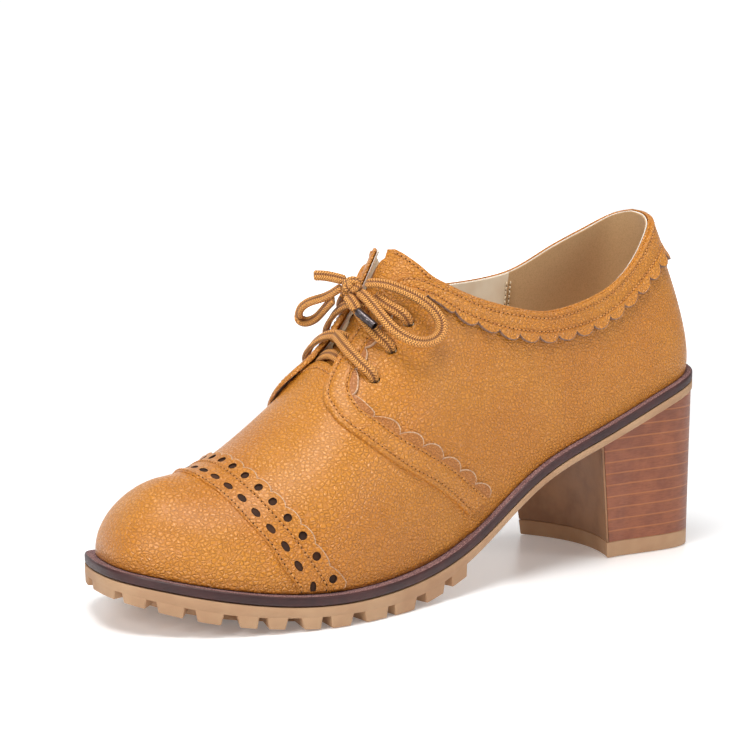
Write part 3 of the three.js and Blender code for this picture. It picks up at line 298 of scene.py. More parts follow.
def last_point(rnd, up):
    """Point of the last: round the outline, up its rib."""
    rnd, up = np.broadcast_arrays(np.asarray(rnd, float), np.asarray(up, float))
    foot = rim(rnd, -WELT_LIP)
    share = pole_share(share_of(ring_at(turn_of(rnd))[..., 0]))
    down = 1 - up
    a = (down**3 + 3 * down**2 * up * (1 + bulge_at(share)) + 3 * down * up**2 * crown_at(share))
    b = 3 * down**2 * up * wall_at(share) + 3 * down * up**2 + up**3
    x = x_of(share) + (foot[..., 0] - x_of(share)) * a
    y = side_at(share) + (foot[..., 1] - side_at(share)) * a
    base = seat(x) + GAP
    ridge = ridge_at(np.clip(share_of(x), 0, 1))
    return np.stack([x, y, base + (ridge - base) * b], -1)


def last_normal(rnd, up):
    e = 1e-3
    top = np.minimum(np.asarray(up, float) + e, 1)
    u = last_point(rnd + e, up) - last_point(rnd - e, up)
    v = last_point(rnd, top) - last_point(rnd, top - 2 * e)
    n = np.cross(v, u)
    return n / np.maximum(np.linalg.norm(n, axis=-1, keepdims=True), 1e-9)


def off_last(rnd, up, lift):
    lift = np.asarray(lift, float)
    return last_point(rnd, up) + last_normal(rnd, up) * lift[..., None]


def solve(low, high, inside, steps=40):
    """Bisection on arrays: the place where inside() turns from true to false."""
    low = np.array(low, float)
    high = np.array(high, float)
    for _ in range(steps):
        mid = (low + high) / 2
        keep = inside(mid)
        low = np.where(keep, mid, low)
        high = np.where(keep, high, mid)
    return low


def round_at(side, up, share):
    """Place round the outline, on one side, where a rib share reaches a share of the length."""
    side, up, share = np.broadcast_arrays(*(np.asarray(k, float) for k in (side, up, share)))
    found = solve(np.full(up.shape, 0.02), np.full(up.shape, 0.999),
                  lambda mid: last_point(side * mid, up)[..., 0] < x_of(share))
    return side * found


throat_at = column(THROAT, "half")


def facing_up(rnd):
    rnd = np.asarray(rnd, float)
    middle = side_at(pole_share(share_of(ring_at(turn_of(rnd))[..., 0])))

    def inside(mid):
        p = last_point(rnd, mid)
        return np.abs(p[..., 1] - middle) > throat_at(share_of(p[..., 0]))

    return solve(np.full(rnd.shape, 0.4), np.full(rnd.shape, 1.0), inside)


collar_outer = column(COLLAR_OUTER, "up", "round")
collar_inner = column(COLLAR_INNER, "up", "round")
SEAM_UP = {1: float(facing_up(SEAM_ROUND)), -1: float(facing_up(-SEAM_ROUND))}


def edge_up(rnd):
    """Rib share of the upper's top edge: collar, then facing, then the line of the vamp's crest."""
    rnd = np.asarray(rnd, float)
    r = np.abs(rnd)
    side = np.where(rnd < 0, -1, 1)
    collar = np.where(side < 0, collar_inner(r), collar_outer(r))
    start = np.where(side < 0, SEAM_UP[-1], SEAM_UP[1])
    vamp = mix(start, CREST_UP, (r - SEAM_ROUND) / (1 - SEAM_ROUND))
    return np.where(r < EAR_ROUND - 1e-6, collar, np.where(r <= SEAM_ROUND + 1e-6, facing_up(rnd), vamp))


# Front edge of the quarter, as place round the outline against the rib share
FRONT_FROM = 3
front_ups = np.array(FACING_STRIP["up"][FRONT_FROM:])[::-1]
front_rounds = np.array(FACING_STRIP["round"][FRONT_FROM:])[::-1]


def quarter_lift(rnd, up):
    """How far the quarter's leather stands over the vamp's, which goes under it."""
    edge = np.interp(up, front_ups, front_rounds)
    behind = (edge - np.abs(rnd)) * HALF_ARC
    return QUARTER_LIFT * smooth(0.6, 2.4, behind)


# Meshes and materials
def link(name, mesh, replaced, smooth_faces=True):
    obj = bpy.data.objects.new(name, mesh)
    SCENE.collection.objects.link(obj)
    mesh.polygons.foreach_set("use_smooth", [smooth_faces] * len(mesh.polygons))
    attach(obj, "root")
    if replaced:
        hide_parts(*replaced)
    return obj


def piece(name, points, faces, materials, replaced=(), indices=None, uvs=None, weld=1e-4,
          crisp=None):
    """Mesh object from points in millimetres. indices: a material for each face."""
    mesh = bpy.data.meshes.new(name)
    mesh.from_pydata((np.asarray(points, float) * MM).tolist(), [], [tuple(map(int, f)) for f in faces])
    for material in materials:
        mesh.materials.append(material)
    if indices is not None:
        mesh.polygons.foreach_set("material_index", np.asarray(indices, int))
    if uvs is not None:
        layer = mesh.uv_layers.new(name="UVMap")
        corner = np.zeros(len(mesh.loops), int)
        mesh.loops.foreach_get("vertex_index", corner)
        layer.data.foreach_set("uv", np.asarray(uvs, float)[corner].ravel())
    bm = bmesh.new()
    bm.from_mesh(mesh)
    if weld:
        bmesh.ops.remove_doubles(bm, verts=bm.verts, dist=weld * MM)
        bmesh.ops.dissolve_degenerate(bm, edges=bm.edges, dist=weld * MM)
    bmesh.ops.recalc_face_normals(bm, faces=bm.faces)
    bm.to_mesh(mesh)
    bm.free()
    obj = link(name, mesh, replaced)
    if crisp is not None:
        mesh.set_sharp_from_angle(angle=math.radians(crisp))
    return obj


def grid_faces(rows, cols, wrap=False, start=0):
    i, j = np.meshgrid(np.arange(rows if wrap else rows - 1), np.arange(cols - 1), indexing="ij")
    k = (i + 1) % rows
    quads = np.stack([i * cols + j, k * cols + j, k * cols + j + 1, i * cols + j + 1], -1)
    return quads.reshape(-1, 4) + start


def slab(top, bottom, wrap=False):
    """Closed body between two grids of points. Gives points, faces and each face's place:
    0 top, 1 bottom, 2 near edge, 3 far edge, 4 ends."""
    rows, cols = top.shape[:2]
    size = rows * cols
    points = np.concatenate([top.reshape(-1, 3), bottom.reshape(-1, 3)])
    upper = grid_faces(rows, cols, wrap)
    lower = grid_faces(rows, cols, wrap, size)[:, ::-1]
    faces = [upper, lower]
    place = [np.zeros(len(upper)), np.ones(len(lower))]
    i = np.arange(rows if wrap else rows - 1)
    k = (i + 1) % rows
    for j, kind in ((0, 2), (cols - 1, 3)):
        faces.append(np.stack([i * cols + j, i * cols + j + size, k * cols + j + size, k * cols + j], -1))
        place.append(np.full(len(i), kind))
    if not wrap:
        j = np.arange(cols - 1)
        for row in (0, rows - 1):
            a = row * cols + j
            faces.append(np.stack([a, a + 1, a + 1 + size, a + size], -1))
            place.append(np.full(len(j), 4))
    return points, np.concatenate(faces), np.concatenate(place).astype(int)


def tube(sections, closed=False):
    """Faces of a loft through closed sections (n, m, 3), with caps unless it closes on itself."""
    n, m = sections.shape[:2]
    i, j = np.meshgrid(np.arange(n if closed else n - 1), np.arange(m), indexing="ij")
    a = i * m + j
    b = ((i + 1) % n) * m + j
    c = ((i + 1) % n) * m + (j + 1) % m
    d = i * m + (j + 1) % m
    faces = [tuple(f) for f in np.stack([a, b, c, d], -1).reshape(-1, 4)]
    if not closed:
        faces.append(tuple(range(m)))
        faces.append(tuple(range((n - 1) * m, n * m))[::-1])
    return sections.reshape(-1, 3), faces


def cut(obj, cutters, solver="MANIFOLD"):
    """Takes one joined set of closed cutters out of a closed piece."""
    mod = obj.modifiers.new("cut", "BOOLEAN")
    mod.operation = "DIFFERENCE"
    mod.object = cutters
    mod.solver = solver
    mod.material_mode = "TRANSFER"
    bake_modifiers(obj)
    bpy.data.objects.remove(cutters)


def bake_modifiers(obj):
    graph = bpy.context.evaluated_depsgraph_get()
    made = bpy.data.meshes.new_from_object(obj.evaluated_get(graph), depsgraph=graph)
    obj.modifiers.clear()
    obj.data = made


def bevel(obj, width, segments=2, angle=40):
    mod = obj.modifiers.new("bevel", "BEVEL")
    mod.width = width * MM
    mod.segments = segments
    mod.limit_method = "ANGLE"
    mod.angle_limit = math.radians(angle)
    mod.harden_normals = False
    bake_modifiers(obj)
    obj.data.polygons.foreach_set("use_smooth", [True] * len(obj.data.polygons))
    obj.data.set_sharp_from_angle(angle=math.radians(50))


# Node helpers
class Nodes:
    """A material under construction, with short calls for the nodes that it uses."""

    def __init__(self, name, roughness, coat=0.0, metallic=0.0, sheen=0.0):
        self.material = bpy.data.materials.new(name)
        self.material.use_nodes = True
        self.tree = self.material.node_tree
        self.shader = self.tree.nodes["Principled BSDF"]
        self.shader.inputs["Roughness"].default_value = roughness
        self.shader.inputs["Coat Weight"].default_value = coat
        self.shader.inputs["Coat Roughness"].default_value = 0.35
        self.shader.inputs["Metallic"].default_value = metallic
        self.shader.inputs["Sheen Weight"].default_value = sheen
        self.shader.inputs["Sheen Roughness"].default_value = 0.5
        self.place = self.node("ShaderNodeTexCoord").outputs["Object"]

    def node(self, kind, **settings):
        made = self.tree.nodes.new(kind)
        for key, value in settings.items():
            setattr(made, key, value)
        return made

    def put(self, socket, value):
        if isinstance(value, bpy.types.NodeSocket):
            self.tree.links.new(value, socket)
        else:
            socket.default_value = value

    def scaled(self, size, stretch=(1, 1, 1)):
        """Coordinates in units of `size` millimetres, stretched along the axes."""
        made = self.node("ShaderNodeMapping")
        self.put(made.inputs["Vector"], self.place)
        made.inputs["Scale"].default_value = [k / (size * MM) for k in stretch]
        return made.outputs["Vector"]

    def noise(self, size, detail=2.0, roughness=0.5, stretch=(1, 1, 1)):
        made = self.node("ShaderNodeTexNoise")
        self.put(made.inputs["Vector"], self.scaled(size, stretch))
        made.inputs["Scale"].default_value = 1.0
        made.inputs["Detail"].default_value = detail
        made.inputs["Roughness"].default_value = roughness
        return made.outputs["Fac"]

    def cells(self, vector, feature="F1", smoothness=0.4):
        made = self.node("ShaderNodeTexVoronoi", feature=feature)
        self.put(made.inputs["Vector"], vector)
        made.inputs["Scale"].default_value = 1.0
        if feature == "SMOOTH_F1":
            made.inputs["Smoothness"].default_value = smoothness
        return made.outputs["Distance"]

    def math(self, operation, a, b=0.0, c=0.0):
        made = self.node("ShaderNodeMath", operation=operation)
        self.put(made.inputs[0], a)
        self.put(made.inputs[1], b)
        self.put(made.inputs[2], c)
        return made.outputs[0]

    def ramp(self, value, low, high, to_low=0.0, to_high=1.0):
        made = self.node("ShaderNodeMapRange", interpolation_type="SMOOTHSTEP")
        self.put(made.inputs["Value"], value)
        made.inputs["From Min"].default_value = low
        made.inputs["From Max"].default_value = high
        made.inputs["To Min"].default_value = to_low
        made.inputs["To Max"].default_value = to_high
        return made.outputs["Result"]

    def blend(self, amount, a, b):
        made = self.node("ShaderNodeMix", data_type="RGBA")
        self.put(made.inputs["Factor"], amount)
        self.put(made.inputs["A"], a)
        self.put(made.inputs["B"], b)
        return made.outputs["Result"]

    def warp(self, vector, size, amount):
        """Vector moved about by a soft noise, so that cells aren't even."""
        made = self.node("ShaderNodeTexNoise")
        self.put(made.inputs["Vector"], self.scaled(size))
        made.inputs["Scale"].default_value = 1.0
        made.inputs["Detail"].default_value = 1.0
        centred = self.node("ShaderNodeVectorMath", operation="SUBTRACT")
        self.put(centred.inputs[0], made.outputs["Color"])
        centred.inputs[1].default_value = (0.5, 0.5, 0.5)
        moved = self.node("ShaderNodeVectorMath", operation="MULTIPLY_ADD")
        self.put(moved.inputs[0], centred.outputs["Vector"])
        moved.inputs[1].default_value = (amount, amount, amount)
        self.put(moved.inputs[2], vector)
        return moved.outputs["Vector"]

    def bump(self, height, depth, strength=1.0, after=None):
        made = self.node("ShaderNodeBump")
        made.inputs["Strength"].default_value = strength
        made.inputs["Distance"].default_value = depth * MM
        self.put(made.inputs["Height"], height)
        if after is not None:
            self.put(made.inputs["Normal"], after)
        return made.outputs["Normal"]

    def finish(self, colour, normal=None, roughness=None):
        self.put(self.shader.inputs["Base Color"], colour)
        if normal is not None:
            self.put(self.shader.inputs["Normal"], normal)
        if roughness is not None:
            self.put(self.shader.inputs["Roughness"], roughness)
        return self.material


def colour(red, green, blue):
    """Shader colour from the usual 0 to 255 screen values."""
    def linear(k):
        k /= 255
        return k / 12.92 if k <= 0.04045 else ((k + 0.055) / 1.055)**2.4
    return (linear(red), linear(green), linear(blue), 1.0)


# Materials
def leather_material(name, base, crease_shade, light, pebble=1.38, relief=0.34, roughness=0.30):
    """Pebbled leather: rounded pebbles with fine creases between them, over soft long wrinkles. The creases are
    darkened in colour, painted shade.
    """
    m = Nodes(name, roughness, coat=0.25)
    spot = m.warp(m.scaled(pebble, (1.0, 0.9, 1.2)), 1.3, 0.45)
    rise = m.ramp(m.cells(spot, "DISTANCE_TO_EDGE"), -0.08, 0.30)
    fine = m.ramp(m.cells(m.warp(m.scaled(0.6), 0.6, 0.3), "DISTANCE_TO_EDGE"), -0.1, 0.35)
    soft = m.noise(5.0, 2.0, 0.5, (1.0, 1.0, 1.5))
    pebbles = m.math("MULTIPLY_ADD", fine, 0.18, rise)
    height = m.math("MULTIPLY_ADD", soft, 1.2, pebbles)
    patch = m.noise(30.0, 2.0)
    tone = m.blend(m.ramp(patch, 0.35, 0.65), base, light)
    # painted shade: the colour darkens towards the creases between pebbles
    tone = m.blend(m.ramp(rise, 0.15, 0.7, 0.3, 0.0), tone, crease_shade)
    shine = m.ramp(rise, 0.2, 0.9, roughness + 0.18, roughness)
    return m.finish(tone, m.bump(height, relief), shine)


def cut_edge_material(name, tone, other):
    m = Nodes(name, 0.85)
    return m.finish(m.blend(m.ramp(m.noise(0.5, 3.0), 0.35, 0.65), tone, other),
                    m.bump(m.noise(0.35, 3.0), 0.08))


def suede_material(name, tone, other):
    m = Nodes(name, 0.92, sheen=0.25)
    nap = m.noise(0.45, 4.0, 0.65)
    patch = m.noise(14.0, 3.0, 0.6)
    tone = m.blend(m.ramp(patch, 0.35, 0.7), tone, other)
    tone = m.blend(m.ramp(nap, 0.4, 0.75, 0.0, 0.35), tone, other)
    return m.finish(tone, m.bump(nap, 0.09))


def lining_material():
    """Beige lining: suede at the heel, smooth leather in front of the counter's seam."""
    m = Nodes("lining_leather", 0.7, sheen=0.2)
    split = m.node("ShaderNodeSeparateXYZ")
    m.put(split.inputs[0], m.place)
    front = m.ramp(split.outputs["X"], LINING_SEAM_X * MM - 0.0002, LINING_SEAM_X * MM + 0.0002)
    nap = m.noise(0.5, 4.0, 0.65)
    suede = m.blend(m.ramp(nap, 0.35, 0.75), colour(208, 170, 124), colour(190, 152, 106))
    smooth_tone = m.blend(m.ramp(m.noise(9.0, 2.0), 0.3, 0.7), colour(246, 232, 208), colour(236, 216, 188))
    return m.finish(m.blend(front, suede, smooth_tone), m.bump(nap, 0.07), m.math("MULTIPLY_ADD", front, -0.25, 0.9))


def plain_material(name, tone, other, roughness, size=8.0, relief=0.05, grain=0.6):
    m = Nodes(name, roughness)
    patch = m.noise(size, 3.0, 0.6)
    return m.finish(m.blend(m.ramp(patch, 0.3, 0.7), tone, other), m.bump(m.noise(grain, 3.0, 0.6), relief))


def rubber_material():
    m = Nodes("rubber_beige", 0.62)
    patch = m.noise(17.0, 3.0, 0.6)
    speck = m.noise(0.55, 3.0, 0.7)
    tone = m.blend(m.ramp(patch, 0.3, 0.7), colour(186, 148, 112), colour(174, 134, 100))
    tone = m.blend(m.ramp(speck, 0.58, 0.8, 0.0, 0.4), tone, colour(160, 124, 94))
    return m.finish(tone, m.bump(speck, 0.06), m.ramp(patch, 0.3, 0.7, 0.55, 0.7))


def stack_material():
    """Layers of the stacked heel: brown sheets with a thin paler line between two of them."""
    m = Nodes("heel_layers", 0.42, coat=0.1)
    split = m.node("ShaderNodeSeparateXYZ")
    m.put(split.inputs[0], m.place)
    wave = m.noise(30.0, 1.0)
    run = m.math("MULTIPLY_ADD", wave, 0.0006, split.outputs["Z"])
    phase = m.math("FRACT", m.math("DIVIDE", m.math("SUBTRACT", run, STACK_FIRST * MM), STACK_LAYER * MM))
    away = m.math("ABSOLUTE", m.math("SUBTRACT", phase, 0.5))
    line = m.ramp(away, 0.40, 0.49)
    grain = m.noise(0.9, 4.0, 0.65, (0.25, 0.25, 2.2))
    body = m.blend(m.ramp(m.noise(9.0, 3.0, 0.6), 0.3, 0.7), colour(150, 82, 46), colour(128, 66, 36))
    body = m.blend(m.ramp(grain, 0.4, 0.75, 0.0, 0.45), body, colour(104, 52, 28))
    tone = m.blend(m.math("MULTIPLY", line, 0.6), body, colour(186, 112, 56))
    return m.finish(tone, m.bump(m.math("MULTIPLY_ADD", line, -0.6, grain), 0.06), m.ramp(grain, 0.3, 0.7, 0.36, 0.5))


def welt_material():
    m = Nodes("welt_edge", 0.46, coat=0.08)
    grain = m.noise(0.8, 4.0, 0.65, (0.3, 0.3, 2.0))
    tone = m.blend(m.ramp(m.noise(7.0, 3.0), 0.3, 0.7), colour(64, 28, 28), colour(48, 20, 20))
    tone = m.blend(m.ramp(grain, 0.5, 0.8, 0.0, 0.35), tone, colour(88, 48, 44))
    return m.finish(tone, m.bump(grain, 0.06), m.ramp(grain, 0.3, 0.7, 0.4, 0.6))


def welt_top_material():
    """Rough cut face of the welt, with pale fibres."""
    m = Nodes("welt_rough_face", 0.85)
    fibre = m.noise(0.42, 4.0, 0.7)
    tone = m.blend(m.ramp(fibre, 0.42, 0.66), colour(92, 58, 60), colour(176, 138, 132))
    return m.finish(tone, m.bump(fibre, 0.3))


def braid_material():
    """Braided lace. The mesh's UV gives millimetres along it and turns round it."""
    m = Nodes("lace_braid", 0.62, sheen=0.05)
    uv = m.node("ShaderNodeUVMap", uv_map="UVMap").outputs["UV"]
    split = m.node("ShaderNodeSeparateXYZ")
    m.put(split.inputs[0], uv)
    along = split.outputs["X"]
    across = split.outputs["Y"]
    fold = m.math("ABSOLUTE", m.math("SUBTRACT", m.math("FRACT", m.math("MULTIPLY", across, 6.0)), 0.5))
    slant = m.math("MULTIPLY_ADD", fold, 1.5, m.math("MULTIPLY", along, 1.0 / BRAID_PITCH))
    strand = m.math("ABSOLUTE", m.math("SINE", m.math("MULTIPLY", slant, math.pi)))
    height = m.math("MULTIPLY_ADD", m.noise(0.25, 2.0), 0.25, strand)
    # colour follows the strand height, dark in the dips and light on the crowns: painted shade and light
    tone = m.blend(m.ramp(strand, 0.15, 0.8), colour(136, 72, 20), colour(238, 168, 84))
    tone = m.blend(m.ramp(m.noise(5.0, 2.0), 0.35, 0.65, 0.0, 0.3), tone, colour(204, 134, 60))
    # darker along the sunken middle groove of each face: painted shade
    side = m.math("ABSOLUTE", m.math("SUBTRACT", m.math("FRACT", m.math("MULTIPLY", across, 2.0)), 0.5))
    tone = m.blend(m.ramp(side, 0.01, 0.11, 0.8, 0.0), tone, colour(104, 50, 14))
    return m.finish(tone, m.bump(height, 0.34), 0.5)


def metal_material():
    m = Nodes("aglet_metal", 0.3, metallic=0.9)
    wear = m.noise(1.1, 3.0, 0.6)
    return m.finish(m.blend(m.ramp(wear, 0.3, 0.7), colour(92, 84, 84), colour(66, 60, 62)),
                    m.bump(wear, 0.03), m.ramp(wear, 0.3, 0.7, 0.26, 0.42))


LINING_SEAM_X = 33.0
STACK_FIRST = 1.9
BRAID_PITCH = 0.86
# colour of the painted shade in the leather's creases
TAN = colour(200, 125, 32)
TAN_CREASE_SHADE = colour(142, 74, 14)
TAN_LIGHT = colour(207, 134, 40)
LEATHER = leather_material("leather_pebbled", TAN, TAN_CREASE_SHADE, TAN_LIGHT)
TRIM = leather_material("leather_trim", TAN, TAN_CREASE_SHADE, TAN_LIGHT, 1.4, 0.34)
CUT_EDGE = cut_edge_material("leather_cut_edge", colour(214, 180, 148), colour(176, 138, 108))
# lobes of the facing strips: the tan leather a little browner, and darker as painted shade
LOBE_SHADED = leather_material("leather_lobes_shaded", colour(192, 122, 50), TAN_CREASE_SHADE, colour(180, 112, 48), 1.3, 0.32, 0.5)
# cut edge for the collar's lobes: grey-brown cut leather, darkened as painted shade of the downward-facing edge
CUT_EDGE_SHADED = cut_edge_material("leather_cut_edge_shaded", colour(150, 120, 102), colour(112, 84, 68))
# dark colour for the walls of holes: painted shade inside them
HOLE_SHADOW = plain_material("hole_shadow", colour(70, 38, 16), colour(48, 26, 12), 0.9)
WHITE_EDGE = plain_material("topline_white_edge", colour(246, 240, 230), colour(232, 222, 208), 0.7)
LINING = lining_material()
UNDERSIDE = suede_material("leather_underside", colour(196, 160, 122), colour(170, 132, 96))
WELT = welt_material()
WELT_TOP = welt_top_material()
RUBBER_MAT = rubber_material()
STACK = stack_material()
COVER = plain_material("breast_cover", colour(160, 116, 80), colour(134, 92, 60), 0.45, 14.0, 0.04, 1.2)
BRAID = braid_material()
METAL = metal_material()
THREAD = plain_material("thread", colour(214, 152, 84), colour(176, 112, 52), 0.55, 1.2, 0.05, 0.3)
PALE_THREAD = plain_material("thread_pale", colour(224, 206, 176), colour(200, 176, 140), 0.6, 1.2, 0.05, 0.3)


# Camera
def make_camera():
    data = bpy.data.cameras.new("camera")
    data.sensor_width = SENSOR
    data.lens = CAMERA_LENS
    data.clip_start = 0.01
    data.clip_end = 10
    cam = bpy.data.objects.new("camera", data)
    right = Vector(CAMERA_RIGHT).normalized()
    up = Vector(CAMERA_UP).normalized()
    back = right.cross(up)
    turn = Matrix((right, up, back)).transposed().to_4x4()
    cam.matrix_world = Matrix.Translation(Vector(CAMERA_PLACE) * MM) @ turn
    SCENE.collection.objects.link(cam)
    SCENE.camera = cam


# Laces
def smooth_path(points, steps):
    """Even points along a spline through the given ones, and the share of the list at each."""
    points = np.asarray(points, float)
    gaps = np.sqrt(np.linalg.norm(np.diff(points, axis=0), axis=1))
    knots = np.concatenate([[0], np.cumsum(gaps)])
    line = spline(knots, points)
    fine = line(np.linspace(0, knots[-1], 800))
    run = np.concatenate([[0], np.cumsum(np.linalg.norm(np.diff(fine, axis=0), axis=1))])
    t = np.interp(np.linspace(0, run[-1], steps), run, np.linspace(0, knots[-1], 800))
    return line(t), np.linspace(0, run[-1], steps), t / knots[-1]


def lace_section(count=20):
    """Section of the flat braid: two ridges with a groove between, and round edges."""
    a = 2 * math.pi * (np.arange(count) + 0.5) / count
    x = np.sign(np.cos(a)) * np.abs(np.cos(a))**0.85
    z = np.sign(np.sin(a)) * np.abs(np.sin(a))**0.75
    z = z * (1 - 0.5 * np.exp(-(x / 0.24)**2))
    return x / 2, z / 2


def frames(path, normals, t):
    d = np.gradient(path, axis=0)
    d /= np.linalg.norm(d, axis=1, keepdims=True)
    normals = np.asarray(normals, float)
    grid = np.linspace(0, 1, len(normals))
    f = np.stack([np.interp(t, grid, normals[:, k]) for k in range(3)], -1)
    across = np.cross(d, f)
    across /= np.linalg.norm(across, axis=1, keepdims=True)
    return across, np.cross(across, d)


def lace_mesh(points, normals, wide=LACE_WIDE, thick=LACE_THICK, step=0.6, taper=True, pinch=False):
    """Sections, UV and centreline of a lace along a list of points."""
    length = smooth_path(points, 200)[1][-1]
    path, run, t = smooth_path(points, max(8, int(length / step)))
    across, out = frames(path, normals, t)
    x, z = lace_section()
    size = np.ones(len(path))
    if taper:
        size[0] = size[-1] = 0.72
    if pinch:
        size = mix(0.66, size, smooth(1.5, 5.0, run))
    sections = (path[:, None] + across[:, None] * (x * wide)[None, :, None] * size[:, None, None]
                + out[:, None] * (z * thick)[None, :, None] * size[:, None, None])
    turn = (np.arange(len(x)) + 0.5) / len(x)
    uv = np.stack(np.broadcast_arrays(run[:, None], turn[None]), -1)
    return sections, uv.reshape(-1, 2), path, run[-1]


def lace_piece(name, runs, replaced, wide=LACE_WIDE, thick=LACE_THICK, pinch=False):
    """One piece made of one or more lace runs, each (points, normals)."""
    points, faces, uvs, start = [], [], [], 0
    for line, normals in runs:
        sections, uv, path, length = lace_mesh(line, normals, wide, thick, pinch=pinch)
        p, f = tube(sections)
        points.append(p)
        uvs.append(uv)
        faces += [tuple(k + start for k in face) for face in f]
        start += len(p)
    obj = piece(name, np.concatenate(points), faces, [BRAID], replaced,
                uvs=np.concatenate(uvs), weld=0)
    return obj, path, length


def on_last(places, turn=()):
    """Points and normals of a lace that lies over the last, from (round, up, lift).

    turn: how far the lace's face is tipped down the wall at its first points."""
    rnd, up, lift = np.array(places, float).T
    normal = last_normal(rnd, up)
    rise = last_point(rnd, up + 1e-3) - last_point(rnd, up - 1e-3)
    rise /= np.linalg.norm(rise, axis=-1, keepdims=True)
    tip = np.zeros(len(rnd))
    tip[:len(turn)] = turn
    return off_last(rnd, up, lift), normal * (1 - tip[:, None]) - rise * tip[:, None]


make_camera()


def cord_piece(name, points, normals, replaced):
    obj, path, length = lace_piece(name, [(points, normals)], replaced)
    return obj


def knot_piece():
    """Knot: the lace wrapped twice round itself, with its core hidden inside."""
    centre = np.array(KNOT)
    runs = []
    for lean, wide, shift in ((0.75, 3.5, -0.5), (-0.55, 3.2, 0.7)):
        axis = np.array([math.sin(lean) * 0.6, math.cos(lean), -math.sin(lean)])
        axis /= np.linalg.norm(axis)
        u = np.cross(axis, [0.4, 0.1, 1.0])
        u /= np.linalg.norm(u)
        v = np.cross(axis, u)
        a = np.linspace(0, 2 * math.pi, 14)
        reach = 2.6 + 0.3 * np.sin(2 * a)
        ringed = (centre + axis * shift + u * (np.cos(a) * reach)[:, None]
                  + v * (np.sin(a) * reach * 0.8)[:, None] + axis * (0.5 * np.sin(a))[:, None])
        normals = u * np.cos(a)[:, None] + v * np.sin(a)[:, None]
        runs.append((ringed, normals))
    core = [centre + np.array([-1.6, -4.0, -0.5]), centre + np.array([0.2, -1.0, 0.2]),
            centre + np.array([0.3, 1.4, 0.3]), centre + np.array([-0.6, 4.2, -0.3])]
    runs.append((core, [(0.45, 0.3, 0.8), (0.45, 0.4, 0.75)]))
    return lace_piece("knot_wrap", runs, ["bow_knot"], 3.4, 2.0)[0]


def aglet_piece():
    """Metal tip: a crimped tube with an open mouth."""
    path, run, t = smooth_path([AGLET[0], mix(np.array(AGLET[0]), np.array(AGLET[1]), 0.5), AGLET[1]], 15)
    across, out = frames(path, LOOP_FACE, t)
    a = 2 * math.pi * np.arange(20) / 20
    radius = np.full(len(path), 1.42)
    radius[0] = 1.25
    radius[[4, 10]] = 1.3
    outer = path[:, None] + (across[:, None] * np.cos(a)[None, :, None]
                             + out[:, None] * np.sin(a)[None, :, None]) * radius[:, None, None]
    inner = path[:, None] + (outer - path[:, None]) * 0.78
    sections = np.concatenate([outer, inner[::-1][:3]])
    points, faces = tube(sections)
    return piece("aglet_tip", points, faces, [METAL], ["aglet_outer"], weld=0, crisp=40)


CROSSING = [
    (0.0000, 0.6270, -3.0, 1), (0.0000, 0.6300, 0.2, 1), (0.0015, 0.6560, 2.1, 1),
    (0.0060, 0.7050, 2.9, 1), (0.0090, 0.7800, 3.2, 1), (0.0090, 0.8700, 3.3, 1),
    (0.0060, 0.9600, 2.6, 1), (0.0030, 0.9550, 1.0, -1), (0.0010, 0.9000, -0.8, -1),
]
TOP_LACE = [
    (0.562, 0.601, -3.0), (0.562, 0.604, 0.2), (0.564, 0.630, 2.1), (0.569, 0.675, 3.0),
    (0.575, 0.740, 3.4), (0.579, 0.825, 3.6),
]
EYELET_TURN = [1.0, 1.0, 0.45]
BASE_BAR_ROUND = 0.634


def make_laces():
    knot = knot_piece()
    aglet = aglet_piece()
    near_end = lace_piece("lace_end_outer", [(NEAR_END, LOOP_FACE)], ["bow_end_outer"])[0]
    far_end = lace_piece("lace_end_inner", [(FAR_END, FAR_FACE)], ["bow_end_inner"])[0]
    cord_piece("lace_loop_outer", NEAR_LOOP, LOOP_FACE, ["bow_loop_outer"])
    cord_piece("lace_loop_inner", FAR_LOOP, FAR_FACE, ["bow_loop_inner"])
    for name, (rnd, up) in (("low", EYELETS[0]), ("middle", EYELETS[1])):
        runs = []
        for side in (1, -1):
            shift = up - EYELETS[0][1]
            runs.append(on_last([(side * s * (rnd + ahead), high + shift, lift)
                                 for ahead, high, lift, s in CROSSING], EYELET_TURN))
        lace_piece("lace_cross_" + name, runs, ["lace_crossing_" + name], pinch=True)
    for name, side in (("outer", 1), ("inner", -1)):
        run = on_last([(side * rnd, up, lift) for rnd, up, lift in TOP_LACE], EYELET_TURN)
        lace_piece("lace_run_" + name, [run], ["lace_top_" + name], pinch=True)
    edge = float(facing_up(BASE_BAR_ROUND))
    half = [(BASE_BAR_ROUND, edge - 0.01, -1.6), (BASE_BAR_ROUND, mix(edge, 0.99, 0.5), -1.0),
            (BASE_BAR_ROUND, 0.99, -1.0)]
    bar = on_last(half + [(-r, u, l) for r, u, l in half[::-1]])
    lace_piece("lace_bar", [bar], ["lace_bar_low"])


make_laces()


# Upper
def spread(n, power=1.0):
    return np.linspace(0, 1, n)**power


def edge_rows(edge, rnd, radius=0.7):
    """Rib shares and lifts near the top edge, which rolls over with a small radius."""
    e = 1e-3
    speed = np.linalg.norm(last_point(rnd, edge) - last_point(rnd, edge - e), axis=-1) / e
    away = np.array([1.6, 0.7, 0.42, 0.2, 0.06, 0.0])
    up = edge[:, None] - away[None] / speed[:, None]
    near = np.clip(radius - away, 0, radius)
    drop = radius - np.sqrt(radius**2 - near**2)
    return up, np.broadcast_to(-drop, up.shape)


HEEL_RIBS = 130
FACING_RIBS = 36
TOE_RIBS = 110
WALL_ROWS = 56
CREST_ROWS = 20


def rib_places():
    half = np.concatenate([
        np.linspace(0, EAR_ROUND, HEEL_RIBS, endpoint=False),
        np.linspace(EAR_ROUND, SEAM_ROUND, FACING_RIBS, endpoint=False),
        np.linspace(SEAM_ROUND, 1, TOE_RIBS),
    ])
    return np.concatenate([half, -half[1:-1][::-1]]), half


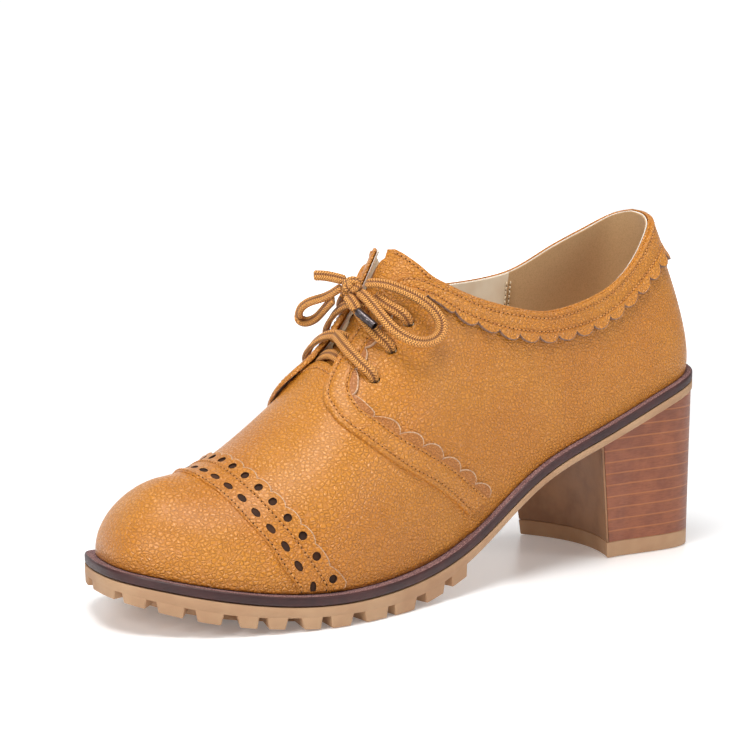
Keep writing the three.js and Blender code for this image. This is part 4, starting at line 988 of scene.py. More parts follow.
def upper_surface(lift, edge_drop=0.0, roll=True):
    """Points and faces of the upper's open surface, at a lift over the last."""
    ribs, half = rib_places()
    edge = edge_up(ribs)
    speed = np.linalg.norm(last_point(ribs, edge) - last_point(ribs, edge - 1e-3), axis=-1) / 1e-3
    edge = edge - np.where(np.abs(ribs) <= SEAM_ROUND, edge_drop, 0) / speed
    top_rows, drops = edge_rows(edge, ribs)
    in_vamp = np.abs(ribs)[:, None] > SEAM_ROUND + 1e-9
    drops = np.where(in_vamp | (not roll), 0, drops)
    body_rows = top_rows[:, :1] * spread(WALL_ROWS)[None]
    up = np.concatenate([body_rows, top_rows[:, 1:]], 1)
    drop = np.concatenate([np.zeros_like(body_rows), drops[:, 1:]], 1)
    rnd = np.broadcast_to(ribs[:, None], up.shape)
    cols = up.shape[1]
    wall = off_last(rnd, up, lift + quarter_lift(rnd, up) + drop)
    points = [wall.reshape(-1, 3)]
    faces = [grid_faces(len(ribs), cols, wrap=True)]
    start = len(ribs) * cols
    toe = half[HEEL_RIBS + FACING_RIBS:]
    rows = []
    for side in (1, -1):
        rise = spread(CREST_ROWS)[None] * (1 - edge_up(side * toe))[:, None] + edge_up(side * toe)[:, None]
        place = np.broadcast_to(side * toe[:, None], rise.shape)
        rows.append(off_last(place, rise, lift + quarter_lift(place, rise)))
    both = np.concatenate([rows[0], rows[1][:, ::-1][:, 1:]], 1)
    both[:, CREST_ROWS - 1] = (rows[0][:, -1] + rows[1][:, -1]) / 2
    points.append(both.reshape(-1, 3))
    faces.append(grid_faces(len(toe), both.shape[1], start=start))
    return np.concatenate(points), np.concatenate(faces)


def upper_shell(name, lift, thick, materials, replaced, edge_drop=0.0, roll=True):
    points, faces = upper_surface(lift, edge_drop, roll)
    obj = piece(name, points, faces, materials, replaced, weld=2e-2)
    mesh = obj.data
    middle = mesh.polygons[0]
    if (middle.normal.x * middle.center.x + middle.normal.y * middle.center.y) < 0:
        mesh.flip_normals()
    mod = obj.modifiers.new("wall", "SOLIDIFY")
    mod.thickness = thick * MM
    mod.offset = -1
    mod.use_even_offset = False
    mod.material_offset = 1 if len(materials) > 1 else 0
    mod.material_offset_rim = 2 if len(materials) > 2 else 0
    bake_modifiers(obj)
    return obj


def eyelet_cutters(material, radius=EYELET_RADIUS, reach=5.0):
    points, faces = [], []
    for rnd, up in EYELETS:
        for side in (1, -1):
            p = last_point(side * rnd, up)
            n = Vector(last_normal(side * rnd, up))
            turn = np.array(n.to_track_quat("Z", "Y").to_matrix())
            a = 2 * math.pi * np.arange(24) / 24
            loops = []
            for z in (-reach, reach):
                local = np.stack([radius * np.cos(a), radius * 0.8 * np.sin(a), np.full(24, z)], -1)
                loops.append(p + local @ turn.T)
            q, f = tube(np.stack(loops))
            faces += [tuple(k + 48 * (len(points)) for k in face) for face in f]
            points.append(q)
    return cutter("eyelet_cutters", np.concatenate(points), faces, material)


def cutter(name, points, faces, material):
    mesh = bpy.data.meshes.new(name)
    mesh.from_pydata((points * MM).tolist(), [], [tuple(map(int, f)) for f in faces])
    mesh.materials.append(material)
    bm = bmesh.new()
    bm.from_mesh(mesh)
    bmesh.ops.recalc_face_normals(bm, faces=bm.faces)
    bm.to_mesh(mesh)
    bm.free()
    obj = bpy.data.objects.new(name, mesh)
    SCENE.collection.objects.link(obj)
    return obj


def make_upper():
    leather = upper_shell("upper_leather", 0.0, 1.25, [LEATHER], ["upper"])
    # the eyelets' walls take the dark hole colour, painted shade
    cut(leather, eyelet_cutters(HOLE_SHADOW))
    for name, lift, thick, material, drop in (("upper_white_edge", -1.25, 0.35, WHITE_EDGE, 0.35),
                                              ("upper_lining", -1.6, 0.4, LINING, 0.55)):
        sheet = upper_shell(name, lift, thick, [material], ["upper"], drop, False)
        cut(sheet, eyelet_cutters(HOLE_SHADOW), "EXACT")


make_upper()


# Trim strips
def resample(a, b, count_or_runs, use_b=True):
    """Shares t in [0, 1] of two matching lines so that the chosen one is evenly spaced."""
    line = b if use_b else a
    t = np.linspace(0, 1, 1500)
    pts = last_point(*line(t))
    run = np.concatenate([[0], np.cumsum(np.linalg.norm(np.diff(pts, axis=0), axis=1))])
    return lambda s: np.interp(s, run, t), run[-1]


def scallop(x):
    """Reach of a lobe across its width, x from -1 to 1."""
    return np.sqrt(np.clip(1 - (0.97 * x)**2, 0, 1))


def lobe_stations(count, per=11):
    """Places 0..count along a scalloped edge with points close together at the notches."""
    inside = np.sin(np.linspace(-math.pi / 2, math.pi / 2, per))
    x = np.concatenate([(inside[:-1] + 1) / 2 + k for k in range(count)] + [[count]])
    shape = np.concatenate([scallop(inside[:-1]) for k in range(count)] + [[scallop(-1.0)]])
    return x, shape


def strip_body(near, far, ts, reach, plan):
    """Strip between two lines on the last.

    near, far: functions of t giving (round, up). reach: share of the width at each t.
    plan: thickness, rolled near edge, grooves and lobe step, in millimetres."""
    a = np.stack(near(ts), -1)
    b = np.stack(far(ts), -1)
    width = np.linalg.norm(last_point(*b.T) - last_point(*a.T), axis=-1)
    roll = plan["roll"]
    first = plan["first"](width)
    second = plan["second"](width)
    cols = [np.zeros_like(width) + d for d in (0, 0.05 * roll, 0.2 * roll, 0.5 * roll, roll)]
    cols += [first + d for d in (-0.45, -0.2, 0, 0.2, 0.45)]
    cols += [mix(first + 0.45, second - 0.45, k) for k in (0.25, 0.5, 0.75)]
    cols += [second + d for d in (-0.45, -0.2, 0, 0.2, 0.45)]
    step = np.minimum(second + plan["step"], width * reach - 0.5)
    end = width * reach
    cols += [step, step + 0.12]
    cols += [mix(step + 0.12, end - plan["rim"], k) for k in (0.35, 0.7, 1.0)]
    cols += [end - 0.08, end]
    d = np.stack(cols, 1)
    d = np.minimum(np.maximum.accumulate(d, 1), end[:, None])
    w = d / width[:, None]
    place = a[:, None] + (b - a)[:, None] * w[..., None]
    rnd, up = place[..., 0], place[..., 1]
    rolled = np.clip(1 - d / roll, 0, 1)
    height = plan["thick"] * np.sqrt(np.clip(1 - rolled**2, 0, 1))
    height = height + plan["pipe"] * np.exp(-((d - 0.55 * roll) / (0.5 * roll))**2) * (d > 0)
    in_lobe = d > step[:, None] + 0.06
    out_of_step = np.clip((d - step[:, None]) / 4.0, 0, 1)
    height = np.where(in_lobe, plan["lobe"] + plan["curl"] * out_of_step**1.5, height)
    height = height - np.where(d >= end[:, None] - 1e-6, 0.12, 0)
    for groove in (first, second):
        height = height - plan["groove"] * np.exp(-((d - groove[:, None]) / 0.26)**2)
    rise = plan["rise"](ts)[:, None] * np.clip(1 - d / (0.75 * width[:, None]), 0, 1)**1.5
    over = quarter_lift(rnd, up) * plan["over"]
    top = off_last(rnd, up, over + height + rise)
    under_side = np.where(in_lobe, np.maximum(height - plan["sheet"], -0.12), -0.12)
    low = off_last(rnd, up, over + under_side + rise * 0.98)
    return top, low, d, step


def add_strip(name, near, far, ts, reach, plan, replaced, lobe_material, edge):
    top, low, d, step = strip_body(near, far, ts, reach, plan)
    points, faces, kind = slab(top, low)
    cols = top.shape[1]
    index = np.zeros(len(faces), int)
    col = np.arange(len(faces)) % (cols - 1)
    index[(kind == 0) & (col >= 19)] = 1
    index[(kind == 0) & (col >= cols - 3)] = 2
    index[kind == 3] = 2
    index[kind == 1] = 3
    return piece(name, points, faces, [TRIM, lobe_material, edge, UNDERSIDE], replaced,
                 indices=index, weld=1e-3, crisp=55)


def stitch_row(points, normals, pitch=STITCH_PITCH, long=STITCH_LONG, radius=THREAD_RADIUS, sink=0.25,
               phase=0.0):
    """Threads and needle holes along a line of points, each thread arched over the leather."""
    run = np.concatenate([[0], np.cumsum(np.linalg.norm(np.diff(points, axis=0), axis=1))])
    count = int((run[-1] - phase) / pitch)
    start = phase + pitch * np.arange(count) + (pitch - long) / 2
    s = start[:, None] + long * np.linspace(0, 1, 5)[None]

    def along(values, at):
        return np.stack([np.interp(at, run, values[:, k]) for k in range(3)], -1)

    p = along(points, s)
    n = along(normals, s)
    arch = np.array([-sink, 0.10, 0.20, 0.10, -sink])
    p = p + n * arch[None, :, None]
    tangent = np.gradient(p, axis=1)
    tangent /= np.maximum(np.linalg.norm(tangent, axis=-1, keepdims=True), 1e-9)
    side = np.cross(tangent, n)
    side /= np.maximum(np.linalg.norm(side, axis=-1, keepdims=True), 1e-9)
    out = np.cross(side, tangent)
    a = 2 * math.pi * np.arange(6) / 6
    fat = radius * np.array([0.75, 1.0, 1.05, 1.0, 0.75])[None, :, None, None]
    loops = p[:, :, None] + fat * (side[:, :, None] * np.cos(a)[None, None, :, None]
                                   + out[:, :, None] * np.sin(a)[None, None, :, None])
    holes = along(points, start - (pitch - long) / 2)
    hole_n = along(normals, start - (pitch - long) / 2)
    hole_t = along(np.gradient(points, axis=0), start - (pitch - long) / 2)
    hole_t /= np.linalg.norm(hole_t, axis=-1, keepdims=True)
    hole_s = np.cross(hole_n, hole_t)
    ring_a = 2 * math.pi * np.arange(8) / 8
    rim_points = (holes[:, None] + 0.26 * (hole_t[:, None] * np.cos(ring_a)[None, :, None]
                                          + hole_s[:, None] * np.sin(ring_a)[None, :, None]))
    top = holes + hole_n * 0.06
    low = holes - hole_n * 0.3
    return loops, rim_points, top, low


def stitches(name, rows, material):
    """One piece from several rows, each (points, normals)."""
    points, faces, index, start = [], [], [], 0
    for row in rows:
        loops, rims, tops, lows = stitch_row(*row)
        for one in loops:
            p, f = tube(one)
            points.append(p)
            faces += [tuple(k + start for k in face) for face in f]
            index += [0] * len(f)
            start += len(p)
        # needle holes as small dark cones: painted shade
        for rim_loop, top, low in zip(rims, tops, lows):
            points.append(np.concatenate([rim_loop, [top], [low]]))
            for k in range(8):
                faces.append((start + k, start + (k + 1) % 8, start + 8))
                faces.append((start + (k + 1) % 8, start + k, start + 9))
            index += [1] * 16
            start += 10
    return piece(name, np.concatenate(points), faces, [material, HOLE_SHADOW], indices=index, weld=0)


def strip_row(near, far, offset, plan, lift=0.0, t0=0.0, t1=1.0):
    """Points and normals of a stitch line at a distance from a strip's near edge."""
    ts = np.linspace(t0, t1, 500)
    a = np.stack(near(ts), -1)
    b = np.stack(far(ts), -1)
    width = np.linalg.norm(last_point(*b.T) - last_point(*a.T), axis=-1)
    d = offset(width)
    place = a + (b - a) * (d / width)[:, None]
    rnd, up = place.T
    rise = plan["rise"](ts) * np.clip(1 - d / (0.75 * width), 0, 1)**1.5
    over = quarter_lift(rnd, up) * plan["over"] + plan["thick"] - plan["groove"] * 0.6 + rise + lift
    return off_last(rnd, up, over), last_normal(rnd, up)


def flat(value):
    return lambda width: np.zeros_like(width) + value


def none_at(ts):
    return np.zeros_like(ts)


FACING_PLAN = {"thick": 1.0, "roll": 1.3, "pipe": 0.3, "first": flat(2.1), "second": lambda w: 0.66 * w,
               "step": 0.75, "lobe": 0.75, "curl": 0.7, "sheet": 0.8, "groove": 0.3, "rim": 0.42,
               "over": 1.0}
COLLAR_PLAN = {"thick": 0.95, "roll": 1.2, "pipe": 0.35, "first": flat(2.0), "second": lambda w: 0.62 * w,
               "step": 0.7, "lobe": 1.25, "curl": 1.0, "sheet": 1.1, "groove": 0.3, "rim": 0.3,
               "over": 1.0, "rise": none_at}
FACING_LOBE = 8.5
COLLAR_LOBE = 0.0305
COLLAR_END = 0.566
TOE_PITCH = 0.1117
OVAL_FIRST = 0.031
ROUND_FIRST = 0.055


def facing_lines(side):
    steps = np.linspace(0, 1, len(FACING_STRIP["round"]))
    lines = {k: spline(steps, v) for k, v in FACING_STRIP.items()}
    near = lambda t: (side * lines["round"](t), lines["up"](t))
    far = lambda t: (side * lines["back_round"](t), lines["back_up"](t))
    return near, far


def make_facings():
    rows = []
    for name, side in (("outer", 1), ("inner", -1)):
        near, far = facing_lines(side)
        to_t, length = resample(near, far, 0)
        count = round(length / FACING_LOBE)
        x, shape = lobe_stations(count)
        ts = to_t(x / count * length)
        stand = 0.5 if side > 0 else 1.9
        plan = dict(FACING_PLAN, rise=lambda t, k=stand: k * np.exp(-((t - 0.36) / 0.13)**2))
        reach = 1 - 0.30 * (1 - shape)
        # the lobes take the darker copy of the leather, painted shade
        add_strip("facing_trim_" + name, near, far, ts, reach, plan, ["facing_strip_" + name], LOBE_SHADED,
                  CUT_EDGE)
        rows.append(strip_row(near, far, plan["first"], plan))
        rows.append(strip_row(near, far, plan["second"], plan))
        for t in (0.60,):
            across = np.linspace(0.22, 0.62, 60)
            a, b = np.stack(near(t)), np.stack(far(t))
            place = a + (b - a) * across[:, None]
            lift = quarter_lift(*place.T) + plan["thick"] - 0.1
            rows.append((off_last(place[:, 0], place[:, 1], lift), last_normal(place[:, 0], place[:, 1])))
    stitches("stitches_facing", rows, THREAD)


def collar_lines():
    table = [(r, top, tips) for r, top, tips in zip(*(COLLAR_STRIP_OUTER[k] for k in ("round", "top", "tips")))]
    table += [(-r, top, tips) for r, top, tips in zip(*(COLLAR_STRIP_INNER[k] for k in ("round", "top", "tips")))]
    rounds = [-row[0] for row in table]
    top = spline(rounds, [row[1] for row in table])
    tips = spline(rounds, [row[2] for row in table])

    def near(t):
        s = mix(-COLLAR_END, COLLAR_END, t)
        rise = 0.008 * smooth(0.52, 0.45, np.abs(s))
        return -s, top(s) + rise

    def far(t):
        s = mix(-COLLAR_END, COLLAR_END, t)
        return -s, tips(s)

    return near, far


def make_collar():
    near, far = collar_lines()
    count = round(2 * COLLAR_END / COLLAR_LOBE)
    x, shape = lobe_stations(count)
    ts = x / count
    # the collar's lobe edges take the darker cut edge, painted shade
    add_strip("collar_trim", near, far, ts, 1 - 0.31 * (1 - shape), COLLAR_PLAN, ["collar_strip"], TRIM,
              CUT_EDGE_SHADED)
    rows = [strip_row(near, far, COLLAR_PLAN["first"], COLLAR_PLAN, t0=0.01, t1=0.99),
            strip_row(near, far, COLLAR_PLAN["second"], COLLAR_PLAN, t0=0.02, t1=0.98)]
    for side in (1, -1):
        rnd = side * np.linspace(0.508, 0.5545, 200)
        e = edge_up(rnd)
        speed = np.linalg.norm(last_point(rnd, e) - last_point(rnd, e - 1e-3), axis=-1) / 1e-3
        up = e - 2.2 / speed
        rows.append((off_last(rnd, up, QUARTER_LIFT + 0.02), last_normal(rnd, up)))
    stitches("stitches_collar", rows, THREAD)


def toe_line(name):
    up = TOE_BAND["up"]
    share = TOE_BAND[name]
    both = spline(list(up) + [2 - k for k in up[-2::-1]], list(share) + list(share[-2::-1]))

    def line(run):
        run = np.asarray(run, float)
        side = np.where(run <= 1, 1, -1)
        rib = np.minimum(run, 2 - run)
        return round_at(side, rib, both(run)), rib

    return line


TOE_FRONT = toe_line("front")
TOE_SEAM = toe_line("seam")
TOE_TIPS = toe_line("tips")
RUN_FIRST = 0.012


def hole_cutters(name, runs, near, far, across, long, wide):
    """Elliptic cutters across a toe strip, long along the strip. Their dark material goes onto the holes' walls,
    painted shade.
    """
    points, faces = [], []
    for k, run in enumerate(runs):
        e = 0.004
        a = np.stack(near(run))
        b = np.stack(far(run))
        place = mix(a, b, across)
        p = last_point(*place)
        n = last_normal(*place)
        a2 = mix(np.stack(near(run + e)), np.stack(far(run + e)), across)
        tangent = last_point(*a2) - p
        tangent -= n * tangent.dot(n)
        tangent /= np.linalg.norm(tangent)
        side = np.cross(n, tangent)
        ang = 2 * math.pi * np.arange(20) / 20
        loops = []
        for z, size in ((0.14, 0.95), (2.4, 1.05)):
            loops.append(p + n * z + size * (tangent * (np.cos(ang) * long / 2)[:, None]
                                             + side * (np.sin(ang) * wide / 2)[:, None]))
        q, f = tube(np.stack(loops))
        points.append(q)
        faces += [tuple(i + 40 * k for i in face) for face in f]
    return cutter(name, np.concatenate(points), faces, HOLE_SHADOW)


def toe_strip_mesh(name, near, far, runs, reach, heights, replaced, far_edge, curl=0.0):
    a = np.stack(near(runs), -1)
    b = np.stack(far(runs), -1)
    width = np.linalg.norm(last_point(*b.T) - last_point(*a.T), axis=-1)
    end = width * reach
    near_rows = [flat(d)(width) for d in (0, 0.06, 0.2, 0.45)]
    cols = near_rows + [mix(0.45, end - 0.3, k) for k in np.linspace(0.12, 1, 8)] + [end - 0.08, end]
    d = np.stack(cols, 1)
    w = d / width[:, None]
    place = a[:, None] + (b - a)[:, None] * w[..., None]
    rnd, up = place[..., 0], place[..., 1]
    thick, roll = heights
    height = thick * np.sqrt(np.clip(1 - np.clip(1 - d / roll, 0, 1)**2, 0, 1))
    height = height + curl * np.clip(d / width[:, None], 0, 1)**3
    height = height - np.where(d >= end[:, None] - 1e-6, 0.1, 0)
    top = off_last(rnd, up, height)
    low = off_last(rnd, up, np.zeros_like(height) - 0.15)
    points, faces, kind = slab(top, low)
    col = np.arange(len(faces)) % (top.shape[1] - 1)
    rim_face = (kind == 3) | ((kind == 0) & (col >= top.shape[1] - 3))
    index = np.where(rim_face & far_edge, 1, 0)
    return piece(name, points, faces, [TRIM, CUT_EDGE], replaced, indices=index, weld=1e-3,
                 crisp=50)


def make_toe():
    runs = np.linspace(RUN_FIRST, 2 - RUN_FIRST, 260)
    band = toe_strip_mesh("toe_band", TOE_FRONT, TOE_SEAM, runs, 1.0, (0.5, 0.45), ["toe_cap_band"], False)
    ovals = OVAL_FIRST + TOE_PITCH * np.arange(18)
    ovals = ovals[(ovals > 0.02) & (ovals < 1.97)]
    count = 18
    x, shape = lobe_stations(count, 9)
    runs = np.clip(x * TOE_PITCH, RUN_FIRST, 2 - RUN_FIRST)
    seam_back = lambda run: mixed_line(TOE_SEAM, TOE_TIPS, 0.03, run)
    strip = toe_strip_mesh("toe_scallops", seam_back, TOE_TIPS, runs, 1 - 0.28 * (1 - shape), (0.75, 0.3),
                           ["toe_scallop_strip"], True, 0.45)
    cut(band, hole_cutters("oval_cutters", ovals, TOE_FRONT, TOE_SEAM, 0.53, 3.9, 2.2))
    rounds = ROUND_FIRST + TOE_PITCH * np.arange(18)
    rounds = rounds[(rounds > 0.03) & (rounds < 1.97)]
    cut(strip, hole_cutters("round_cutters", rounds, TOE_SEAM, TOE_TIPS, 0.46, 2.8, 2.8))
    rows = []
    for line, lift in ((lambda run: mixed_line(TOE_FRONT, TOE_SEAM, 0.13, run), 0.55),
                       (lambda run: mixed_line(TOE_SEAM, TOE_TIPS, 0.0, run), 0.5)):
        run = np.linspace(RUN_FIRST, 2 - RUN_FIRST, 600)
        rnd, up = line(run)
        rows.append((off_last(rnd, up, np.full(len(run), lift)), last_normal(rnd, up)))
    stitches("stitches_toe", rows, THREAD)


def mixed_line(one, other, share, run):
    a = np.stack(one(run), -1)
    b = np.stack(other(run), -1)
    place = a + (b - a) * share
    return place[..., 0], place[..., 1]


def make_tab():
    rnd = np.linspace(TAB_HALF_ROUND, -TAB_HALF_ROUND, 31)
    t = np.linspace(0, 1, 25)
    foot = TAB_FOOT + 0.014 * (rnd / TAB_HALF_ROUND)**2
    up = mix(TAB_TOP, foot[:, None], t[None])
    r = np.broadcast_to(rnd[:, None], up.shape)
    near = np.minimum(1, np.minimum((1 - np.abs(rnd / TAB_HALF_ROUND))[:, None] * 9, (1 - t[None]) * 12))
    near = np.minimum(near, t[None] * 12)
    height = 1.6 + 0.65 * np.sqrt(np.clip(near, 0, 1))
    top = off_last(r, up, height)
    low = off_last(r, up, np.full(up.shape, 1.2))
    points, faces, kind = slab(top, low)
    piece("heel_tab", points, faces, [TRIM, CUT_EDGE], ["back_tab"], indices=(kind > 1).astype(int),
          crisp=60)
    rows = []
    edge = np.concatenate([np.stack([np.full(40, s * TAB_HALF_ROUND * 0.8), np.linspace(*ends, 40)], -1)
                           for s, ends in ((1, (TAB_TOP - 0.01, TAB_FOOT + 0.022)),
                                           (-1, (TAB_FOOT + 0.022, TAB_TOP - 0.01)))])
    rows.append((off_last(edge[:, 0], edge[:, 1], np.full(len(edge), 2.2)), last_normal(edge[:, 0], edge[:, 1])))
    stitches("stitches_tab", rows, THREAD)


def make_tongue():
    rows, cols = 60, 33
    t = np.linspace(0, 1, rows)
    rnd = mix(TONGUE_ROUND[0], TONGUE_ROUND[1], t)
    half = mix(TONGUE_HALF[0], TONGUE_HALF[1], t) * (1 - 0.25 * smooth(0.93, 1.0, t))
    want = half[:, None] * np.linspace(1, -1, cols)[None]
    side = np.where(want >= 0, 1, -1)
    place = side * rnd[:, None]
    middle = side_at(pole_share(share_of(ring_at(turn_of(place))[..., 0])))
    up = solve(np.full(want.shape, 0.2), np.full(want.shape, 1.0),
               lambda mid: np.abs(last_point(place, mid)[..., 1] - middle) > np.abs(want))
    top = off_last(place, up, np.full(up.shape, -2.9))
    low = off_last(place, up, np.full(up.shape, -4.5))
    points, faces, kind = slab(top, low)
    piece("tongue_leather", points, faces, [LEATHER, UNDERSIDE], ["tongue"],
          indices=(kind == 1).astype(int), crisp=60)


def make_seams():
    """Stitches of the vamp's edge at the tongue and of the lining's counter."""
    rows = []
    run = np.linspace(0, 1, 120)
    start, end = SEAM_UP[1], SEAM_UP[-1]
    ups = np.concatenate([mix(start, 0.998, run), mix(0.998, end, run)])
    rnd = np.concatenate([np.full(120, SEAM_ROUND + 0.007), np.full(120, -SEAM_ROUND - 0.007)])
    rows.append((off_last(rnd, ups, np.full(len(ups), 0.0)), last_normal(rnd, ups)))
    stitches("stitches_vamp", rows, THREAD)
    rows = []
    for side in (1, -1):
        up = np.linspace(0.1, 0.37 if side < 0 else 0.31, 120)
        for shift in (-0.9, 0.9):
            rnd = side * round_of_x(side, up, LINING_SEAM_X + shift)
            rows.append((off_last(side * np.abs(rnd), up, np.full(len(up), -2.02 + 0.0)),
                         -last_normal(side * np.abs(rnd), up)))
    stitches("stitches_lining", rows, PALE_THREAD)


def round_of_x(side, up, x):
    return np.abs(round_at(side, up, np.full(len(up), share_of(x))))


make_facings()
make_collar()
make_toe()
make_tab()
make_tongue()
make_seams()


# Sole
def under(depth):
    def at(x):
        e = 0.5
        slope = (seat(x + e) - seat(x - e)) / (2 * e)
        return seat(x) - depth * np.hypot(1, slope)
    return at


rubber_at = column(RUBBER, "thick")
lug_at = column(LUG_FLOOR, "z")
rubber_top = under(WELT_THICK + GAP)


def rubber_foot(x):
    return under(WELT_THICK + GAP + rubber_at(share_of(x)))(x)


def lug_floor(x):
    return np.maximum(0, lug_at(share_of(x)))


def all_rounds(count):
    half = np.linspace(0, 1, count + 1)
    return np.concatenate([half, -half[1:-1][::-1]])


def make_welt():
    """Welt as a ring: rough face on top, dark edge, and its inner part under the upper."""
    rounds = all_rounds(260)
    shape = [(-9.0, 0.0), (-4.2, 0.0), (-1.2, 0.02), (-0.55, -0.03), (-0.2, -0.18), (-0.03, -0.5),
             (0.0, -1.0), (0.0, -WELT_THICK + 0.8), (-0.04, -WELT_THICK + 0.35),
             (-0.2, -WELT_THICK + 0.1), (-0.5, -WELT_THICK), (-9.0, -WELT_THICK)]
    sections = []
    for inset, drop in shape:
        p = rim(rounds, np.full(len(rounds), inset))
        z = under(-drop)(p[:, 0]) if drop < -0.6 else seat(p[:, 0]) + drop
        sections.append(np.stack([p[:, 0], p[:, 1], z], -1))
    points, faces = tube(np.stack(sections, 1), closed=True)
    m = len(shape)
    index = [1 if (k % m) < 3 else 0 for k in range(len(faces))]
    piece("welt_ring", points, faces, [WELT, WELT_TOP], ["welt"], indices=index, weld=0)


def make_outsole():
    rounds = all_rounds(220)
    widths = np.array([1, 0.996, 0.985, 0.94, 0.85, 0.7, 0.5, 0.25, 0.0])
    edge = rim(rounds, np.zeros(len(rounds)))
    share = pole_share(share_of(ring_at(turn_of(rounds))[..., 0]))
    spine = np.stack([x_of(share), side_at(share)], -1)
    plan = spine[:, None] + (edge - spine)[:, None] * widths[None, :, None]
    soft = np.array([0.25, 0.06, 0, 0, 0, 0, 0, 0, 0])
    top = np.concatenate([plan, (rubber_top(plan[..., 0]) - soft)[..., None]], -1)
    low = np.concatenate([plan, (rubber_foot(plan[..., 0]) + soft)[..., None]], -1)
    for level in (top, low):
        middle = level[:, -1]
        mirror = np.roll(middle[::-1], 1, axis=0)
        level[:, -1] = (middle + mirror) / 2
    points, faces, kind = slab(top, low, wrap=True)
    keep = kind != 3
    plate = (points, [tuple(f) for f in faces[keep]])
    piece("outsole_plate", plate[0], plate[1], [RUBBER_MAT], ["outsole"], weld=5e-3, crisp=50)
    make_lugs()


def block_body(r0, r1, taper0, taper1, side):
    """Side block between two notches. taper: how much wider it is at its root, in millimetres."""
    grid = []
    count = 7
    for level in (0, 1):
        for inset in (0.0, NOTCH_REACH + 1.5):
            w0 = r0 - taper0 * level / HALF_ARC
            w1 = r1 + taper1 * level / HALF_ARC
            rnd = side * np.linspace(w0, w1, count)
            p = rim(rnd, np.full(count, -inset - 0.15 * (1 - level)))
            foot = lug_floor(rim(rnd, np.zeros(count))[:, 0])
            z = foot if level == 0 else np.maximum(rubber_foot(p[:, 0]) + 0.6, foot + NOTCH_DEEP)
            grid.append(np.stack([p[:, 0], p[:, 1], z], -1))
    low_out, low_in, high_out, high_in = grid
    sections = np.stack([low_out, low_in, high_in, high_out], 1)
    return tube(sections)


def make_lugs():
    points, faces, start = [], [], 0
    edges = []
    first = float(round_at(1, 0.0, LUG_END))
    edges.append((first, NOTCHES[0][0] - NOTCHES[0][1] / 2 / HALF_ARC, 0.0, NOTCHES[0][1]))
    for (a, wa), (b, wb) in zip(NOTCHES, NOTCHES[1:]):
        edges.append((a + wa / 2 / HALF_ARC, b - wb / 2 / HALF_ARC, wa, wb))
    taper = (1 - NOTCH_TAPER) / 2
    for r0, r1, w0, w1 in edges:
        for side in (1, -1):
            p, f = block_body(r0, r1, w0 * taper, w1 * taper, side)
            points.append(p)
            faces += [tuple(k + start for k in face) for face in f]
            start += len(p)
    last = NOTCHES[-1][0] + NOTCHES[-1][1] / 2 / HALF_ARC
    p, f = block_body(last, 2 - last, NOTCHES[-1][1] * taper, NOTCHES[-1][1] * taper, 1)
    points.append(p)
    faces += [tuple(k + start for k in face) for face in f]
    blocks = piece("sole_side_blocks", np.concatenate(points), faces, [RUBBER_MAT], ["outsole"],
                   weld=0)
    bevel(blocks, 0.35, 2, 35)
    shares = np.linspace(LUG_END + 0.002, 0.998, 90)
    xs = x_of(shares)
    t = np.linspace(0, HALF_TURN, 3000)
    outer = rim(np.linspace(0, 1, 3000), np.full(3000, -NOTCH_REACH))
    inner = rim(-np.linspace(0, 1, 3000), np.full(3000, -NOTCH_REACH))
    xs = xs[xs < outer[:, 0].max() - 0.3]
    front = np.argmax(outer[:, 0])
    y_out = np.interp(xs, outer[:front, 0], outer[:front, 1])
    front_in = np.argmax(inner[:, 0])
    y_in = np.interp(xs, inner[:front_in, 0], inner[:front_in, 1])
    cols = np.linspace(0, 1, 9)
    y = y_in[:, None] + (y_out - y_in)[:, None] * cols[None]
    x = np.broadcast_to(xs[:, None], y.shape)
    low = np.stack([x, y, lug_floor(x)], -1)
    top = np.stack([x, y, rubber_foot(x) + 0.7], -1)
    body = slab(top, low)
    core = piece("sole_tread_core", body[0], body[1], [RUBBER_MAT], ["outsole"], weld=0, crisp=40)
    boxes, box_faces = [], []
    for k, share in enumerate(MIDDLE_BARS):
        bx = x_of(share)
        yo = float(np.interp(bx, outer[:front, 0], outer[:front, 1])) + NOTCH_REACH - BAR_MARGIN
        yi = float(np.interp(bx, inner[:front_in, 0], inner[:front_in, 1])) - NOTCH_REACH + BAR_MARGIN
        h = BAR_GROOVE / 2
        foot = float(lug_floor(bx))
        loops = [[(bx - h * w, yi), (bx + h * w, yi), (bx + h * w, yo), (bx - h * w, yo)] for w in (1.1, 0.9)]
        both = np.array([[(*q, z) for q in loop] for loop, z in zip(loops, (foot - 3, foot + NOTCH_DEEP))])
        p, f = tube(both)
        boxes.append(p)
        box_faces += [tuple(i + 8 * k for i in face) for face in f]
    cut(core, cutter("bar_cutters", np.concatenate(boxes), box_faces, RUBBER_MAT))
    bevel(core, 0.3, 2, 35)


make_welt()
make_outsole()


# Heel
def heel_edge(rnd, z):
    """Point of the heel's tapered outline at a height."""
    side = np.clip((np.abs(rnd) - HEEL_CORNER_ROUND) / (HEEL_SIDE_ROUND - HEEL_CORNER_ROUND), 0, 1)
    wing = np.where(rnd < 0, HEEL_INSETS["inner"], HEEL_INSETS["outer"])
    low = mix(HEEL_INSETS["back"], wing, side)
    return rim(rnd, -mix(low, HEEL_TOP_INSET, np.minimum(z / HEEL_FULL, 1)))


def breast_x(y, z, shift):
    return BREAST_X + shift + BREAST_LEAN * z - BREAST_HOLLOW * (1 - (y / BREAST_HALF)**2)


def heel_corner(side, z, shift):
    """Place round the outline where the heel's side meets the breast."""
    def behind(mid):
        p = heel_edge(side * mid, z)
        return p[..., 0] < breast_x(p[..., 1], z, shift)
    return side * solve(np.full(z.shape, 0.05), np.full(z.shape, HEEL_REACH), behind)


